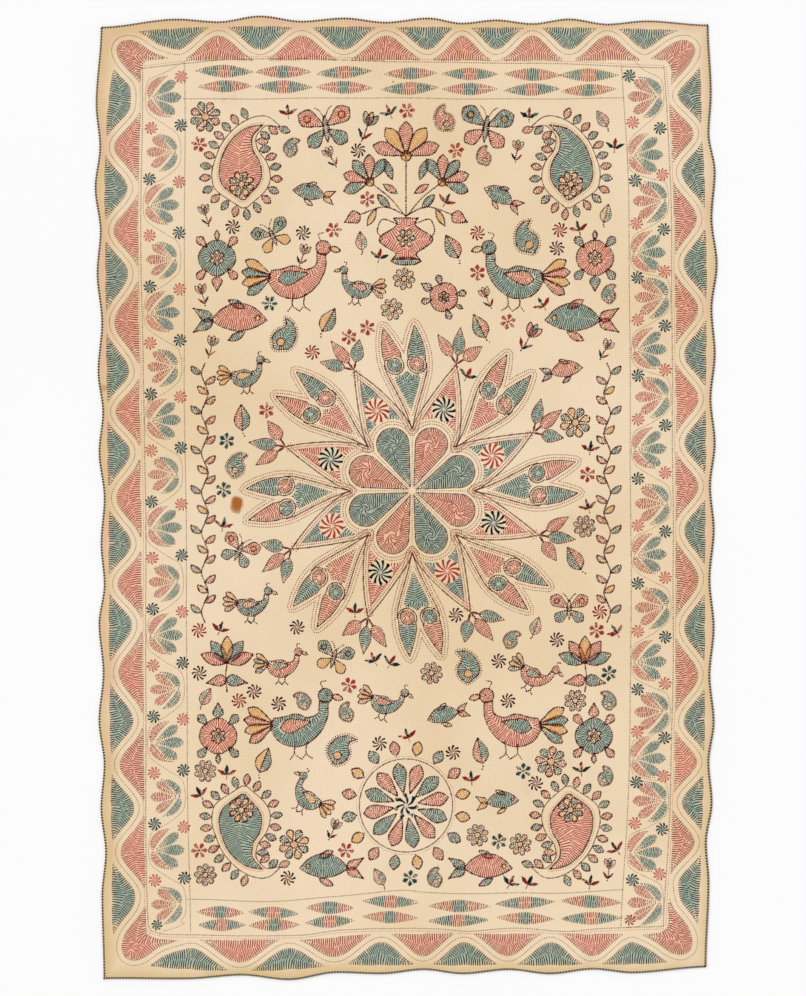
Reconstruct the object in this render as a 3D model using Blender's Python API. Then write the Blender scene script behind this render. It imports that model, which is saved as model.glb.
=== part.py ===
"""A kantha: layers of soft old cotton laid together and quilted by hand, as one flat cloth.

Metres, +Z up. X is the cloth's width and Y its length. The origin is on the surface that the
cloth lies on, under the middle of its box. The cloth is one solid: its underside is flat, its
outline waves out at each hill of the border, and its face is raised where it is quilted.
"""
import math
from collections import namedtuple

import bmesh
import bpy

MM = 0.001
NAME = "kantha_cloth"
NODE = "quilted_cloth"

# Driving sizes in millimetres, from the cloth's middle
CORNERS = {"left_bottom": (-544.0, -867.0), "right_bottom": (540.0, -846.0),
           "left_top": (-549.0, 846.0), "right_top": (544.0, 850.0)}
THICKNESS = 2.4  # the layers together, pressed flat by the quilting
HEM_THICKNESS = 1.9  # at the turned and overcast edge
WAVE_DEPTH = 7.5  # how far the edge draws in between two hills
WAVE_REACH = 90.0  # how far in from the edge its wave is felt

# The border, as distances from the cloth's middle to the lines that frame it
INNER_FRAME = {"left": 476.0, "right": 476.0, "bottom": 776.0, "top": 780.0}
FIELD_FRAME = {"left": 394.0, "right": 394.0, "bottom": 713.0, "top": 717.0}
OUTER_BASE = 64.0  # out from the inner frame line to the base of the outer hills
INNER_BASE = 7.0
HILL_DEPTH = 43.0
BAND_OUT = 60.0  # the plain band winds between the hills, from here half way between them
BAND_IN = 15.0  # to here at an outer hill
BAND_HALF_WIDTH = 8.0

# One row for each outer hill: its place along the side, and how far the edge bulges there
Hill = namedtuple("Hill", "along reach")
HILLS = {
    "left": [Hill(706, 9.5), Hill(556, 11.7), Hill(403, 8.6), Hill(225, 7.4), Hill(81, 6.0),
             Hill(-85, 2.9), Hill(-229, 7.0), Hill(-403, 7.6), Hill(-560, 4.5), Hill(-718, 3.2)],
    "right": [Hill(725, 5.7), Hill(585, 13.1), Hill(419, 17.0), Hill(257, 13.9), Hill(97, 14.2),
              Hill(-59, 12.8), Hill(-236, 13.1), Hill(-405, 13.5), Hill(-549, 10.2), Hill(-695, 5.0)],
    "top": [Hill(-412, 13.9), Hill(-263, 18.9), Hill(-112, 14.8), Hill(40, 14.2), Hill(162, 10.3),
            Hill(293, 11.6), Hill(432, 7.6)],
    "bottom": [Hill(-389, 3.2), Hill(-209, 8.4), Hill(-43, 1.0), Hill(104, 3.9), Hill(261, 7.0),
               Hill(409, 8.1)],
}

# The quilted bands inside the border
PALMETTES = {"left": 16, "right": 17}  # fans in each side band, one above the other
PALMETTE_SPAN = (718.0, -733.0)
PALMETTE_SIZE = (36.0, 34.0)
LENS_PLACES = {"top": (-326, -220, -112, 7, 115, 227, 329), "bottom": (-332, -238, -138, -29, 94, 214, 333)}
LENS_ROWS = (("top", 762.5), ("top", 735.5), ("bottom", -735.0), ("bottom", -761.0))
LENS_SIZE = (54.0, 12.0)

# The lotus in the middle of the field: one row for each ring of its petals
LOTUS = (11.0, 11.0)
LOTUS_PARTS = 8
Ring = namedtuple("Ring", "turn near far half_width")
LOTUS_RINGS = [Ring(22.5, 10, 124, 28), Ring(22.5, 130, 255, 34), Ring(0.0, 145, 297, 60)]

# Motifs of the field, one row for each pair that faces across the middle line, or for one on it
Motif = namedtuple("Motif", "x y half_width half_height")
MOTIFS = [
    Motif(0, 555, 118, 146), Motif(0, -555, 118, 118), Motif(296, 596, 86, 112), Motif(296, -596, 86, 112),
    Motif(205, 402, 88, 72), Motif(201, -404, 88, 72), Motif(144, 664, 46, 38), Motif(134, -668, 58, 31),
    Motif(316, 318, 67, 36), Motif(338, -430, 45, 55), Motif(340, 430, 45, 55), Motif(322, -300, 48, 50),
    Motif(362, 150, 24, 60), Motif(362, 0, 24, 60), Motif(362, -150, 24, 60),
]

# How high the quilting stands, in millimetres
PUFFS = {"hill": 0.8, "palmette": 0.6, "lens": 0.4, "lotus": 0.7, "motif": 0.7}
RIPPLE = 0.25  # uneven hand, all over

# The lines of the cage: close together at the edge, and even inside
EDGE_LINES = (0.0, 5.0, 14.0, 27.0, 42.0, 57.0, 72.0, 88.0, 108.0, 132.0, 156.0)
FIELD_LINE = 25.0  # between two lines inside

COTTON = {"colour": (0.78, 0.66, 0.48, 1.0), "roughness": 0.92, "metallic": 0.0}


def smooth(t):
    """0 to 1 with soft ends."""
    t = min(max(t, 0.0), 1.0)
    return t * t * (3.0 - 2.0 * t)


def dome(distance):
    """1 at a motif's middle and 0 at its rim, where distance is 1."""
    return math.cos(0.5 * math.pi * distance) ** 2 if distance < 1.0 else 0.0


def edge_stops(side, low, high):
    """The places along a side where its edge turns: corners, hills and the dips between them."""
    hills = sorted(HILLS[side])
    stops = [Hill(low, 0.0)]
    for before, after in zip(hills, hills[1:]):
        stops.append(before)
        middle = 0.5 * (before.along + after.along)
        stops.append(Hill(middle, 0.5 * (before.reach + after.reach) - WAVE_DEPTH))
    return stops + [hills[-1], Hill(high, 0.0)]


def edge_wave(side, along, low, high):
    """How far the edge stands out from the straight line between its corners."""
    stops = edge_stops(side, low, high)
    for before, after in zip(stops, stops[1:]):
        if along <= after.along:
            share = smooth((along - before.along) / (after.along - before.along))
            return before.reach + (after.reach - before.reach) * share
    return 0.0


def hill_phase(side, along):
    """1 at an outer hill and 0 half way to the next."""
    places = sorted(hill.along for hill in HILLS[side])
    gaps = [after - before for before, after in zip(places, places[1:])]
    places = [places[0] - gaps[0]] + places + [places[-1] + gaps[-1]]
    for before, after in zip(places, places[1:]):
        if before <= along <= after:
            return 0.5 + 0.5 * math.cos(2.0 * math.pi * (along - before) / (after - before))
    return 0.0


def blend(corner_a, corner_b, share):
    return [a + (b - a) * share for a, b in zip(corner_a, corner_b)]


def cage_lines(length):
    """The shares of a length at which the cage has its lines."""
    inside = length - 2.0 * EDGE_LINES[-1]
    count = round(inside / FIELD_LINE)
    near = [line / length for line in EDGE_LINES]
    middle = [near[-1] + (1.0 - 2.0 * near[-1]) * step / count for step in range(1, count)]
    return near + middle + [1.0 - line for line in reversed(near)]


def place(u, v):
    """The point of the cloth at shares u of its width and v of its length, in millimetres."""
    bottom = blend(CORNERS["left_bottom"], CORNERS["right_bottom"], u)
    top = blend(CORNERS["left_top"], CORNERS["right_top"], u)
    x, y = blend(bottom, top, v)
    width = CORNERS["right_top"][0] - CORNERS["left_top"][0]
    length = CORNERS["left_top"][1] - CORNERS["left_bottom"][1]
    for side, depth, along, low, high, (out_x, out_y) in (
        ("left", u * width, y, bottom[1], top[1], (-1, 0)),
        ("right", (1 - u) * width, y, bottom[1], top[1], (1, 0)),
        ("bottom", v * length, x, CORNERS["left_bottom"][0], CORNERS["right_bottom"][0], (0, -1)),
        ("top", (1 - v) * length, x, CORNERS["left_top"][0], CORNERS["right_top"][0], (0, 1)),
    ):
        felt = 1.0 - smooth(depth / WAVE_REACH)
        wave = edge_wave(side, along, low, high) * felt if felt else 0.0
        x += out_x * wave
        y += out_y * wave
    return x, y


def side_shift(side, along):
    """How far a side's frame line stands out beyond its true place, drawn by hand as it is."""
    if side == "left":
        return -14.0 * min(max((450.0 - along) / 1200.0, 0.0), 1.0)
    if side == "right":
        return max(-17.0 * (along / 775.0) ** 4, -13.0)
    if side == "bottom":
        return 11.0 * (1.0 - smooth((along + 200.0) / 90.0))
    return 0.0


def side_of(x, y):
    """The nearest side, the place along it, and the distance out from its inner frame line."""
    outs = {}
    for side, reach, along in (("left", -x, y), ("right", x, y), ("bottom", -y, x), ("top", y, x)):
        outs[side] = reach - INNER_FRAME[side] - side_shift(side, along)
    side = max(outs, key=outs.get)
    return side, (y if side in ("left", "right") else x), outs[side]


def ridge(value, low, high):
    """A rounded ridge between two lines, lower where they come close."""
    if not low < value < high:
        return 0.0
    return math.sin(math.pi * (value - low) / (high - low)) * min(1.0, (high - low) / HILL_DEPTH)


def hill_puff(x, y):
    """The outer hills at the rim and the inner ones on the frame line, half a step along."""
    side, along, out = side_of(x, y)
    if out < 0.0:
        return 0.0
    band = BAND_OUT - (BAND_OUT - BAND_IN) * hill_phase(side, along)
    outer = ridge(out, band + BAND_HALF_WIDTH, OUTER_BASE)
    inner = ridge(out, INNER_BASE, band - BAND_HALF_WIDTH)
    return PUFFS["hill"] * max(outer, inner)


def ellipse_puff(x, y, middle, size, height):
    reach = math.hypot((x - middle[0]) / size[0], (y - middle[1]) / size[1])
    return height * dome(reach)


def band_puff(x, y):
    """The fans of the side bands and the lenses of the end bands."""
    high, low = PALMETTE_SPAN
    puff = 0.0
    for side, sign in (("left", -1.0), ("right", 1.0)):
        middle = 0.5 * (INNER_FRAME[side] + FIELD_FRAME[side])
        count = PALMETTES[side]
        for row in range(count):
            middle_y = high + (low - high) * row / (count - 1)
            middle_x = sign * (middle + side_shift(side, middle_y))
            puff = max(puff, ellipse_puff(x, y, (middle_x, middle_y), PALMETTE_SIZE, PUFFS["palmette"]))
    for end, row in LENS_ROWS:
        for along in LENS_PLACES[end]:
            puff = max(puff, ellipse_puff(x, y, (along, row), LENS_SIZE, PUFFS["lens"]))
    return puff


def lotus_puff(x, y):
    """Three rings of petals round the lotus's middle."""
    reach = math.hypot(x - LOTUS[0], y - LOTUS[1])
    angle = math.degrees(math.atan2(y - LOTUS[1], x - LOTUS[0]))
    step = 360.0 / LOTUS_PARTS
    puff = 0.0
    for ring in LOTUS_RINGS:
        off = (angle - ring.turn + 0.5 * step) % step - 0.5 * step
        across = reach * math.sin(math.radians(off)) / ring.half_width
        middle = 0.5 * (ring.near + ring.far)
        outwards = (reach * math.cos(math.radians(off)) - middle) / (ring.far - middle)
        puff = max(puff, PUFFS["lotus"] * dome(math.hypot(across, outwards)))
    return puff


def motif_puff(x, y):
    return max(
        ellipse_puff(abs(x), y, (motif.x, motif.y), (motif.half_width, motif.half_height), PUFFS["motif"])
        for motif in MOTIFS
    )


def ripple(x, y):
    """Soft unevenness, a few waves that never quite repeat."""
    waves = (math.sin(x / 31.0 + 0.9 * math.sin(y / 83.0)) + math.sin(y / 37.0 + 0.7 * math.sin(x / 59.0))
             + math.sin((x + y) / 71.0))
    return RIPPLE * waves / 3.0


def face_height(x, y, depth):
    """The height of the cloth's face over its underside."""
    hem = smooth(depth / EDGE_LINES[2])
    puff = max(hill_puff(x, y), band_puff(x, y), lotus_puff(x, y), motif_puff(x, y))
    body = THICKNESS + ripple(x, y) + puff
    return HEM_THICKNESS + (body - HEM_THICKNESS) * hem


def cotton_material():
    material = bpy.data.materials.new("aged_cotton")
    material.use_nodes = True
    shader = material.node_tree.nodes["Principled BSDF"]
    shader.inputs["Base Color"].default_value = COTTON["colour"]
    shader.inputs["Roughness"].default_value = COTTON["roughness"]
    shader.inputs["Metallic"].default_value = COTTON["metallic"]
    return material


def cloth_mesh():
    """A grid drawn to the cloth's outline, thickened upwards over one flat face."""
    width = CORNERS["right_top"][0] - CORNERS["left_top"][0]
    length = CORNERS["left_top"][1] - CORNERS["left_bottom"][1]
    across, along = cage_lines(width), cage_lines(length)
    bm = bmesh.new()
    bmesh.ops.create_grid(bm, x_segments=len(across) - 1, y_segments=len(along) - 1, size=0.5)
    depth_layer = bm.verts.layers.float.new("depth")
    for vert in bm.verts:
        u = across[round((vert.co.x + 0.5) * (len(across) - 1))]
        v = along[round((vert.co.y + 0.5) * (len(along) - 1))]
        depth = min(u * width, (1 - u) * width, v * length, (1 - v) * length)
        x, y = place(u, v)
        vert.co = (x * MM, y * MM, 0.0)
        vert[depth_layer] = depth
    underside = list(bm.faces)
    extruded = bmesh.ops.extrude_face_region(bm, geom=underside, use_keep_orig=True)
    for vert in extruded["geom"]:
        if isinstance(vert, bmesh.types.BMVert):
            vert.co.z += face_height(vert.co.x / MM, vert.co.y / MM, vert[depth_layer]) * MM
    bmesh.ops.dissolve_faces(bm, faces=underside)
    bmesh.ops.recalc_face_normals(bm, faces=list(bm.faces))
    centre_on_origin(bm)
    return bm


def centre_on_origin(bm):
    """Moves the cloth so that the middle of its box is over the origin."""
    xs = [vert.co.x for vert in bm.verts]
    ys = [vert.co.y for vert in bm.verts]
    middle = ((min(xs) + max(xs)) / 2.0, (min(ys) + max(ys)) / 2.0)
    bmesh.ops.translate(bm, verts=bm.verts, vec=(-middle[0], -middle[1], 0.0))


def build():
    for thing in list(bpy.data.objects):
        bpy.data.objects.remove(thing, do_unlink=True)
    collection = bpy.data.collections.new(NAME)
    bpy.context.scene.collection.children.link(collection)
    bm = cloth_mesh()
    mesh = bpy.data.meshes.new(NODE)
    bm.to_mesh(mesh)
    bm.free()
    mesh.shade_smooth()
    mesh.materials.append(cotton_material())
    cloth = bpy.data.objects.new(NODE, mesh)
    collection.objects.link(cloth)


build()
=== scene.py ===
"""The looks of a kantha: one flat cloth, quilted and embroidered by hand, laid on a pale floor.

Sizes are in millimetres from the cloth's middle until they go into a mesh, and metres there. A
place on the cloth is a complex number: its real part is across and its imaginary part is along.
Each stitch is a small raised shape of its own, and stitches of one thread in one zone are a piece.
"""
from collections import defaultdict, namedtuple
from math import pi, radians

import bpy
import numpy as np
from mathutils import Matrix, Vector
from mathutils.bvhtree import BVHTree
from mathutils.kdtree import KDTree


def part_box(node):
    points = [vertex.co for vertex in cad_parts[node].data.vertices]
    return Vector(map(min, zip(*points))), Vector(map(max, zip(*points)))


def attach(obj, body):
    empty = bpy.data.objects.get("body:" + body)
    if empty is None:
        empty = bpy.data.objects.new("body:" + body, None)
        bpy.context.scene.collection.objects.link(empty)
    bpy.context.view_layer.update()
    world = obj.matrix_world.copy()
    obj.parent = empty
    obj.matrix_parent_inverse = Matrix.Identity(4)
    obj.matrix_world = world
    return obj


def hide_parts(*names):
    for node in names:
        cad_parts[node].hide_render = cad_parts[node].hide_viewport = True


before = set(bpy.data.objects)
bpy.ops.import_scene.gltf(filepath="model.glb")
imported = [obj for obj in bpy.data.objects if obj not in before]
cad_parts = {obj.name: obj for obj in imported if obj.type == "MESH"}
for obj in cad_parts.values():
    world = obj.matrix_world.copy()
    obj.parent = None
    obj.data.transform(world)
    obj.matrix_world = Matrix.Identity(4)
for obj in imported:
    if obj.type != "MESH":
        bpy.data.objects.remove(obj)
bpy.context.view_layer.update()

rng = np.random.default_rng(11)

MM = 0.001
CLOTH = "quilted_cloth"
RED, BLUE, DARK, OCHRE = "red_thread", "blue_thread", "dark_thread", "ochre_thread"
BROWN, PALE, PINK, OLIVE = "brown_thread", "pale_thread", "pink_thread", "olive_thread"
RED_BLUE, BLUE_RED = (RED, BLUE), (BLUE, RED)
SIDES = ("bottom", "right", "top", "left")
LONG_SIDES = ("left", "right")
OUTWARDS = {"bottom": -1j, "right": 1 + 0j, "top": 1j, "left": -1 + 0j}
PX = 1.8  # millimetres of cloth to a pixel of the picture's frame

# The cloth's outline, as in the part's source
LEFT_BOTTOM, RIGHT_BOTTOM, LEFT_TOP, RIGHT_TOP = -544 - 867j, 540 - 846j, -549 + 846j, 544 + 850j
SIDE_ENDS = {"left": (-867, 846), "right": (-846, 850), "bottom": (-544, 540), "top": (-549, 544)}
WIDTH = (RIGHT_TOP - LEFT_TOP).real
LENGTH = (LEFT_TOP - LEFT_BOTTOM).imag
WAVE_DEPTH = 7.5
WAVE_REACH = 90.0
INNER_FRAME = {"left": 476.0, "right": 476.0, "bottom": 776.0, "top": 780.0}
FIELD_FRAME = {"left": 394.0, "right": 394.0, "bottom": 713.0, "top": 717.0}
INNER_BASES = {"left": 5.0, "right": 8.5, "bottom": 8.5, "top": 4.0}
BAND_OUT = 60.0
BAND_IN = 15.0
BAND_HALF_WIDTH = 8.0
BAND_SWELL = 0.9  # how much wider the band is to either side at a crest
TIP_OUT = 66.0  # where the tips of the outer hills end
MARGINS = {"left": 8.5, "right": 9.5, "bottom": 7.0, "top": 8.0}  # from the rim to the outer hills
HILLS = {  # how far along each hill stands, and how far it reaches out
    "left": ((-718, 3.2), (-560, 4.5), (-403, 7.6), (-229, 7.0), (-85, 2.9), (81, 6.0), (225, 7.4),
             (403, 8.6), (556, 11.7), (706, 9.5)),
    "right": ((-695, 5.0), (-549, 10.2), (-405, 13.5), (-236, 13.1), (-59, 12.8), (97, 14.2), (257, 13.9),
              (419, 17.0), (585, 13.1), (725, 5.7)),
    "top": ((-412, 13.9), (-263, 18.9), (-112, 14.8), (40, 14.2), (162, 10.3), (293, 11.6), (432, 7.6)),
    "bottom": ((-389, 3.2), (-209, 8.4), (-43, 1.0), (104, 3.9), (261, 7.0), (409, 8.1)),
}
HILLS = {side: np.array(hills, float) for side, hills in HILLS.items()}
# The band's way round a corner, and the inner side of the shape there: out across and out along from it
CORNER_AT = {"top": (476 + 780j, 476 + 780j), "bottom": (463 + 786j, 467 + 776j)}
CORNER_BAND = {
    "top": [12 - 39j, 34 - 15j, 50 + 7j, 54 + 30j, 41 + 47j, 19 + 51j, -3 + 43j, -25 + 27j],
    "bottom": [19 - 46j, 30 - 31j, 48 - 8j, 56 + 10j, 58 + 28j, 52 + 45j, 34 + 57j, 14 + 55j, -4 + 46j,
               -24 + 31j],
}
CORNER_NOTCH = {
    "top": [1 - 31j, 1 - 13j, -2 - 3j, -9 + 5j, -34 + 7j],
    "bottom": [4 - 44j, 5 - 12j, 2 + 0j, -8 + 6j, -20 + 9j, -46 + 11j],
}

# The bands inside the border, and the lotus
FRAME_LINES = {
    "left": [-475 + 772j, -476 + 445j, -471 + 150j, -468 - 300j, -466 - 725j, -459 - 781j],
    "right": [463 + 17 * (1 - (y / 775) ** 4) + y * 1j for y in range(-770, 700, 140)] + [463 + 773j],
    "bottom": [-459 - 781j, -436 - 788j, -389 - 789j, -203 - 789j, -119 - 778j, -11 - 776j, 60 - 777j,
               118 - 782j, 200 - 777j, 290 - 782j, 350 - 777j, 463 - 771j],
    "top": [463 + 773j, 371 + 776j, 45 + 783j, -281 + 788j, -392 + 781j, -475 + 772j],
}
FIELD_LINES = {
    "left": [-399 + 780j, -397 + 0j, -389 - 780j],
    "bottom": [-392 - 725j, -240 - 727j, -130 - 718j, -10 - 709j, 30 - 712j, 125 - 714j, 210 - 711j,
               300 - 712j, 388 - 707j],
}
FIELD_RIGHT = 387.0  # where the field's right line has its ends
RIGHT_BULGE = 17.0  # how far the right band stands out between its ends
LEFT_SLANT = 14.0  # how far the left one draws in towards its foot
FAN_ROWS = {
    "left": tuple(718 - 96.7 * row for row in range(16)),
    "right": (721, 615, 533, 439, 360, 265, 181, 86, -11, -104, -198, -297, -386, -471, -546, -640, -729),
}
LENSES = (  # at the top and the bottom: how far across, half the length, and the heights of both rows
    ((-326, 54, 766, 739), (-220, 54, 765, 738), (-112, 54, 764, 737), (7, 54, 762, 735),
     (115, 54, 761, 734), (227, 54, 760, 733), (329, 54, 759, 732)),
    ((-333, 46, -747, -770), (-238, 49, -748, -770), (-138, 46, -739, -764), (-29, 54, -728, -756),
     (94, 61, -736, -762), (214, 57, -730, -758), (333, 58, -728, -758)),
)
LOTUS = 11 + 11j
LEAN = radians(0.025)  # for each millimetre beyond its petals
PETALS = 62.0 * PX  # how far those reach

SIDE_TONES = {"left": 0.2, "right": 0.0, "top": 0.22, "bottom": 0.04}  # how faded the blue hills are
END_REACH = (75.0, 66.0)  # how far past its first and last hill a side's crests may go
LEAST_CREST = 30

Stain = namedtuple("Stain", "place radius strength")
STAINS = (
    Stain(-304 - 11j, 14.0, 1.0), Stain(-306 - 21j, 10.0, 0.7), Stain(-460 + 175j, 9.0, 0.35),
    Stain(-545 + 196j, 7.0, 0.4), Stain(-23 + 747j, 2.2, 0.9),
)

# The cloth's mesh
CELLS = (212, 334)
ROUND = 1.0  # how far in the rounding of the rim starts
RIM = [(0.3, 0.82), (0.0, 0.5), (0.25, 0.15), (0.9, 0.0)]  # depth, and share of the height
RELIEF = {"fill": 0.3, "line": 0.35, "pucker": 0.16}
BIN = 2.5  # the grid that the cover of the stitches is counted on
GRID_REACH = (600, 900)
MOST_COVER = 0.6  # beyond which more stitches neither raise nor draw in the cloth
PUCKER_START = 20.0  # how far in from the edge the puffs are full
WORN = (12.0, 6.0)  # the left and the top are that much more aged, in millimetres in from the edge
MEAN_HEIGHT = 1.9  # taken where a ray finds no cloth
RAY_HEIGHT = 0.05  # in metres, where a ray down to the cloth starts
MAP_REACH = (560, 870)  # what the picture map of the cloth spans to either side of its middle

# Stitches: from one to the next, from row to row, and their own size
PITCH = 4.3
CROWDED = 2.3
ROW = 1.9
ROWS_APART = 5.0  # in the plain ground
SHAKY = {"place": 0.08, "turn": 0.06, "length": 0.07, "tone": 0.06}  # how unsteady the hand is
MOST_ROWS = 70
LEAST_INSET = 1.4
LEAST_ROOM = 2.7  # what a stitch has at least to itself along its row
FOCUS_ROOM = 1.6  # free of stitches round a focus
FOCUS_PULL = (0.12, 0.7, 30.0)  # at the outline, more further in, and how far in that is reached
GAPS = (1.55, 3.4)  # the gaps that take one more ray, in pitches
RAY_TONES, SHAPE_TONES = 0.05, 0.04  # how much rays and shapes differ in tone
FADE_REACH = 12.0
DYE_INSETS = {"border": 4.0, "bands": 1.8, "lotus": 1.8, "field": 1.8}  # where a filling's tint starts
CLOSE_WIDTH = 1.9  # of the stitches in wheels and small solid shapes
EDGE_WIDTHS = {"lotus": 2.4, "field": 3.1}
STITCH = {"share": 0.62, "width": 2.0, "height": 0.42, "sunk": 0.12}
FOOT = ((-0.5, 0), (-0.3, -0.5), (0.3, -0.5), (0.5, 0), (0.3, 0.5), (-0.3, 0.5))  # along and across
OVERCAST_PITCH = 5.1
OVERCAST_SIDES = (-1.45, 0.0, 1.45)
OVERCAST_CROWN = 0.22
LEAST_HEIGHT = 0.08  # of a stitch over what the cloth lies on
# How far in from the edge, and how far from the height and from the surface there
OVERCAST_PROFILE = ((3.2, 0, 0.12), (2.1, 0, 0.5), (0.2, 0, 0.42), (-0.42, -1.0, 0), (-0.1, -1.75, 0))

# Thread colours, from the freshest to the most faded
THREADS = {
    RED: ((112, 12, 12), (195, 74, 63)),
    BLUE: ((2, 20, 24), (46, 91, 86)),
    DARK: ((4, 20, 26), (34, 58, 64)),
    OCHRE: ((196, 112, 26), (226, 168, 88)),
    BROWN: ((66, 10, 10), (138, 68, 54)),
    PALE: ((222, 200, 160), (246, 232, 204)),
    PINK: ((146, 50, 42), (226, 138, 118)),
    OLIVE: ((100, 68, 40), (170, 136, 98)),
}
# The cotton's cream, deep cream, ochre, tan and peach, and what the dye of close stitches tints it
COTTON = ((247, 224, 192), (238, 210, 170), (225, 194, 142), (214, 180, 146), (231, 188, 154))
TINTS = {"red": ((246, 170, 146), 0.5), "blue": ((132, 170, 160), 0.64), "ochre": ((232, 184, 110), 0.6)}
STAIN_BROWN = (176, 106, 48)


def linear(colour):
    """An sRGB colour, 0 to 255, as the linear one that a shader takes."""
    values = [c / 255.0 for c in colour]
    return (*[v / 12.92 if v <= 0.04045 else ((v + 0.055) / 1.055) ** 2.4 for v in values], 1.0)


def smooth(t):
    """0 to 1 with soft ends."""
    t = np.clip(t, 0.0, 1.0)
    return t * t * (3.0 - 2.0 * t)


# Where the cloth's outline, border and frames lie


def share_between(stops, along):
    """The number of the stop before each place, and how far on from it the place is towards the next."""
    before = np.clip(np.searchsorted(stops, along), 1, len(stops) - 1) - 1
    return before, (along - stops[before]) / (stops[before + 1] - stops[before])


def edge_wave(side, along):
    """How far the edge stands out from the straight line between its corners."""
    hills = HILLS[side]
    dips = 0.5 * (hills[:-1] + hills[1:]) - (0.0, WAVE_DEPTH)
    stops = np.concatenate([hills, dips, [(place, 0.0) for place in SIDE_ENDS[side]]])
    stops, reaches = stops[stops[:, 0].argsort()].T
    before, share = share_between(stops, along)
    return reaches[before] + (reaches[before + 1] - reaches[before]) * smooth(share)


def cloth_point(u, v):
    """The place at shares u of the cloth's width and v of its length."""
    bottom = LEFT_BOTTOM * (1 - u) + RIGHT_BOTTOM * u
    top = LEFT_TOP * (1 - u) + RIGHT_TOP * u
    spot = bottom * (1 - v) + top * v
    moved = spot.copy()
    for side, depth, along, out in (
        ("left", u * WIDTH, spot.imag, -1), ("right", (1 - u) * WIDTH, spot.imag, 1),
        ("bottom", v * LENGTH, spot.real, -1j), ("top", (1 - v) * LENGTH, spot.real, 1j),
    ):
        moved = moved + out * edge_wave(side, along) * (1.0 - smooth(depth / WAVE_REACH))
    return moved


def rim(depth, step=2.0):
    """The cloth's outline at that depth in from its edge, one way round from a corner."""
    u, v = depth / WIDTH, depth / LENGTH
    across = np.linspace(u, 1 - u, int(WIDTH / step), endpoint=False)
    along = np.linspace(v, 1 - v, int(LENGTH / step), endpoint=False)
    loop_u = np.concatenate([across, 0 * along + 1 - u, 1 - across, 0 * along + u])
    loop_v = np.concatenate([0 * across + v, along, 0 * across + 1 - v, 1 - along])
    return cloth_point(loop_u, loop_v)


def side_shift(side, along):
    """How far a side's frame line stands out beyond its true place, drawn by hand as it is."""
    if side == "left":
        slant = -LEFT_SLANT * np.clip((450.0 - along) / 1200.0, 0.0, 1.0)
        return slant - 5.0 * smooth((along - 600.0) / 100.0)
    if side == "right":
        return np.maximum(bulge(along) - RIGHT_BULGE, -13.0)
    if side == "bottom":
        return 11.0 * (1.0 - smooth((along + 200.0) / 90.0))
    return 0.0 * along


def bulge(along):
    return RIGHT_BULGE * (1.0 - (along / 775.0) ** 4)


def side_place(side, along, out):
    """The place on a side at that distance out from its inner frame line."""
    reach = (INNER_FRAME[side] + side_shift(side, along) + out) * OUTWARDS[side]
    return reach + (along * 1j if side in LONG_SIDES else along)


def along_of(side, spots):
    return spots.imag if side in LONG_SIDES else spots.real


def side_of(spots):
    """The nearest side of each place, by number in SIDES, and its distance out from the inner frame line."""
    outs = []
    for side in SIDES:
        shift = side_shift(side, along_of(side, spots))
        outs.append((spots / OUTWARDS[side]).real - INNER_FRAME[side] - shift)
    return np.argmax(outs, axis=0), np.max(outs, axis=0)


def hill_phase(side, along):
    """1 at an outer hill and 0 half way to the next."""
    share = share_between(HILLS[side][:, 0], along)[1]
    return 0.5 + 0.5 * np.cos(2.0 * pi * share)


def band_line():
    """The plain band's centre line, all round the border."""
    points = []
    for number, side in enumerate(SIDES):
        start, end = HILLS[side][[-1, 0] if side in ("top", "left") else [0, -1], 0]
        along = np.linspace(start, end, int(abs(end - start) / 12.0))
        out = BAND_OUT - (BAND_OUT - BAND_IN) * hill_phase(side, along)
        points.append(side_place(side, along, out))
        way = corner_places(CORNER_BAND, side, SIDES[(number + 1) % 4])
        points.append(way if side in LONG_SIDES else way[::-1])
    line = resample(spline(np.concatenate(points), closed=True), 2.0, closed=True)
    for _ in range(4):
        line = (np.roll(line, 2) + line + np.roll(line, -2)) / 3.0
    return resample(line, 2.0, closed=True)


def corner_places(points, *sides):
    """Places given as distances out across and out along from the corner of two sides, as in CORNER_AT."""
    upright, level = sides if sides[0] in LONG_SIDES else sides[::-1]
    corner = CORNER_AT[level][upright == "right"]
    points = np.array(points[level])
    x = (corner.real + points.real) * OUTWARDS[upright].real
    y = (corner.imag + points.imag) * OUTWARDS[level].imag
    return x + 1j * y


# Lines and outlines


def spline(points, closed=False, steps=10):
    """A smooth curve through the points."""
    p = np.asarray(points, complex)
    p = np.concatenate([p[-1:], p, p[:2]] if closed else [[2 * p[0] - p[1]], p, [2 * p[-1] - p[-2]]])
    t = np.arange(steps) / steps
    a, b, c, d = p[:-3, None], p[1:-2, None], p[2:-1, None], p[3:, None]
    curve = 0.5 * (2 * b + (c - a) * t + (2 * a - 5 * b + 4 * c - d) * t**2 + (3 * b - a - 3 * c + d) * t**3)
    return curve.ravel() if closed else np.append(curve, p[-2])


def resample(curve, step, closed=False):
    """Evenly spaced points along a curve."""
    curve = np.append(curve, curve[0]) if closed else np.asarray(curve, complex)
    run = np.concatenate([[0.0], np.cumsum(np.abs(np.diff(curve)))])
    count = max(int(round(run[-1] / step)), 3)
    want = np.linspace(0.0, run[-1], count, endpoint=not closed)
    return np.interp(want, run, curve.real) + 1j * np.interp(want, run, curve.imag)


def headings(curve, closed=True):
    """The unit direction along a curve at each of its points."""
    ahead = np.roll(curve, -2) - np.roll(curve, 2) if closed else np.gradient(curve)
    return ahead / np.maximum(np.abs(ahead), 1e-9)


def counter_clockwise(outline):
    turned = (outline.conj() * np.roll(outline, -1)).imag.sum() > 0
    return outline if turned else outline[::-1]


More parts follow.
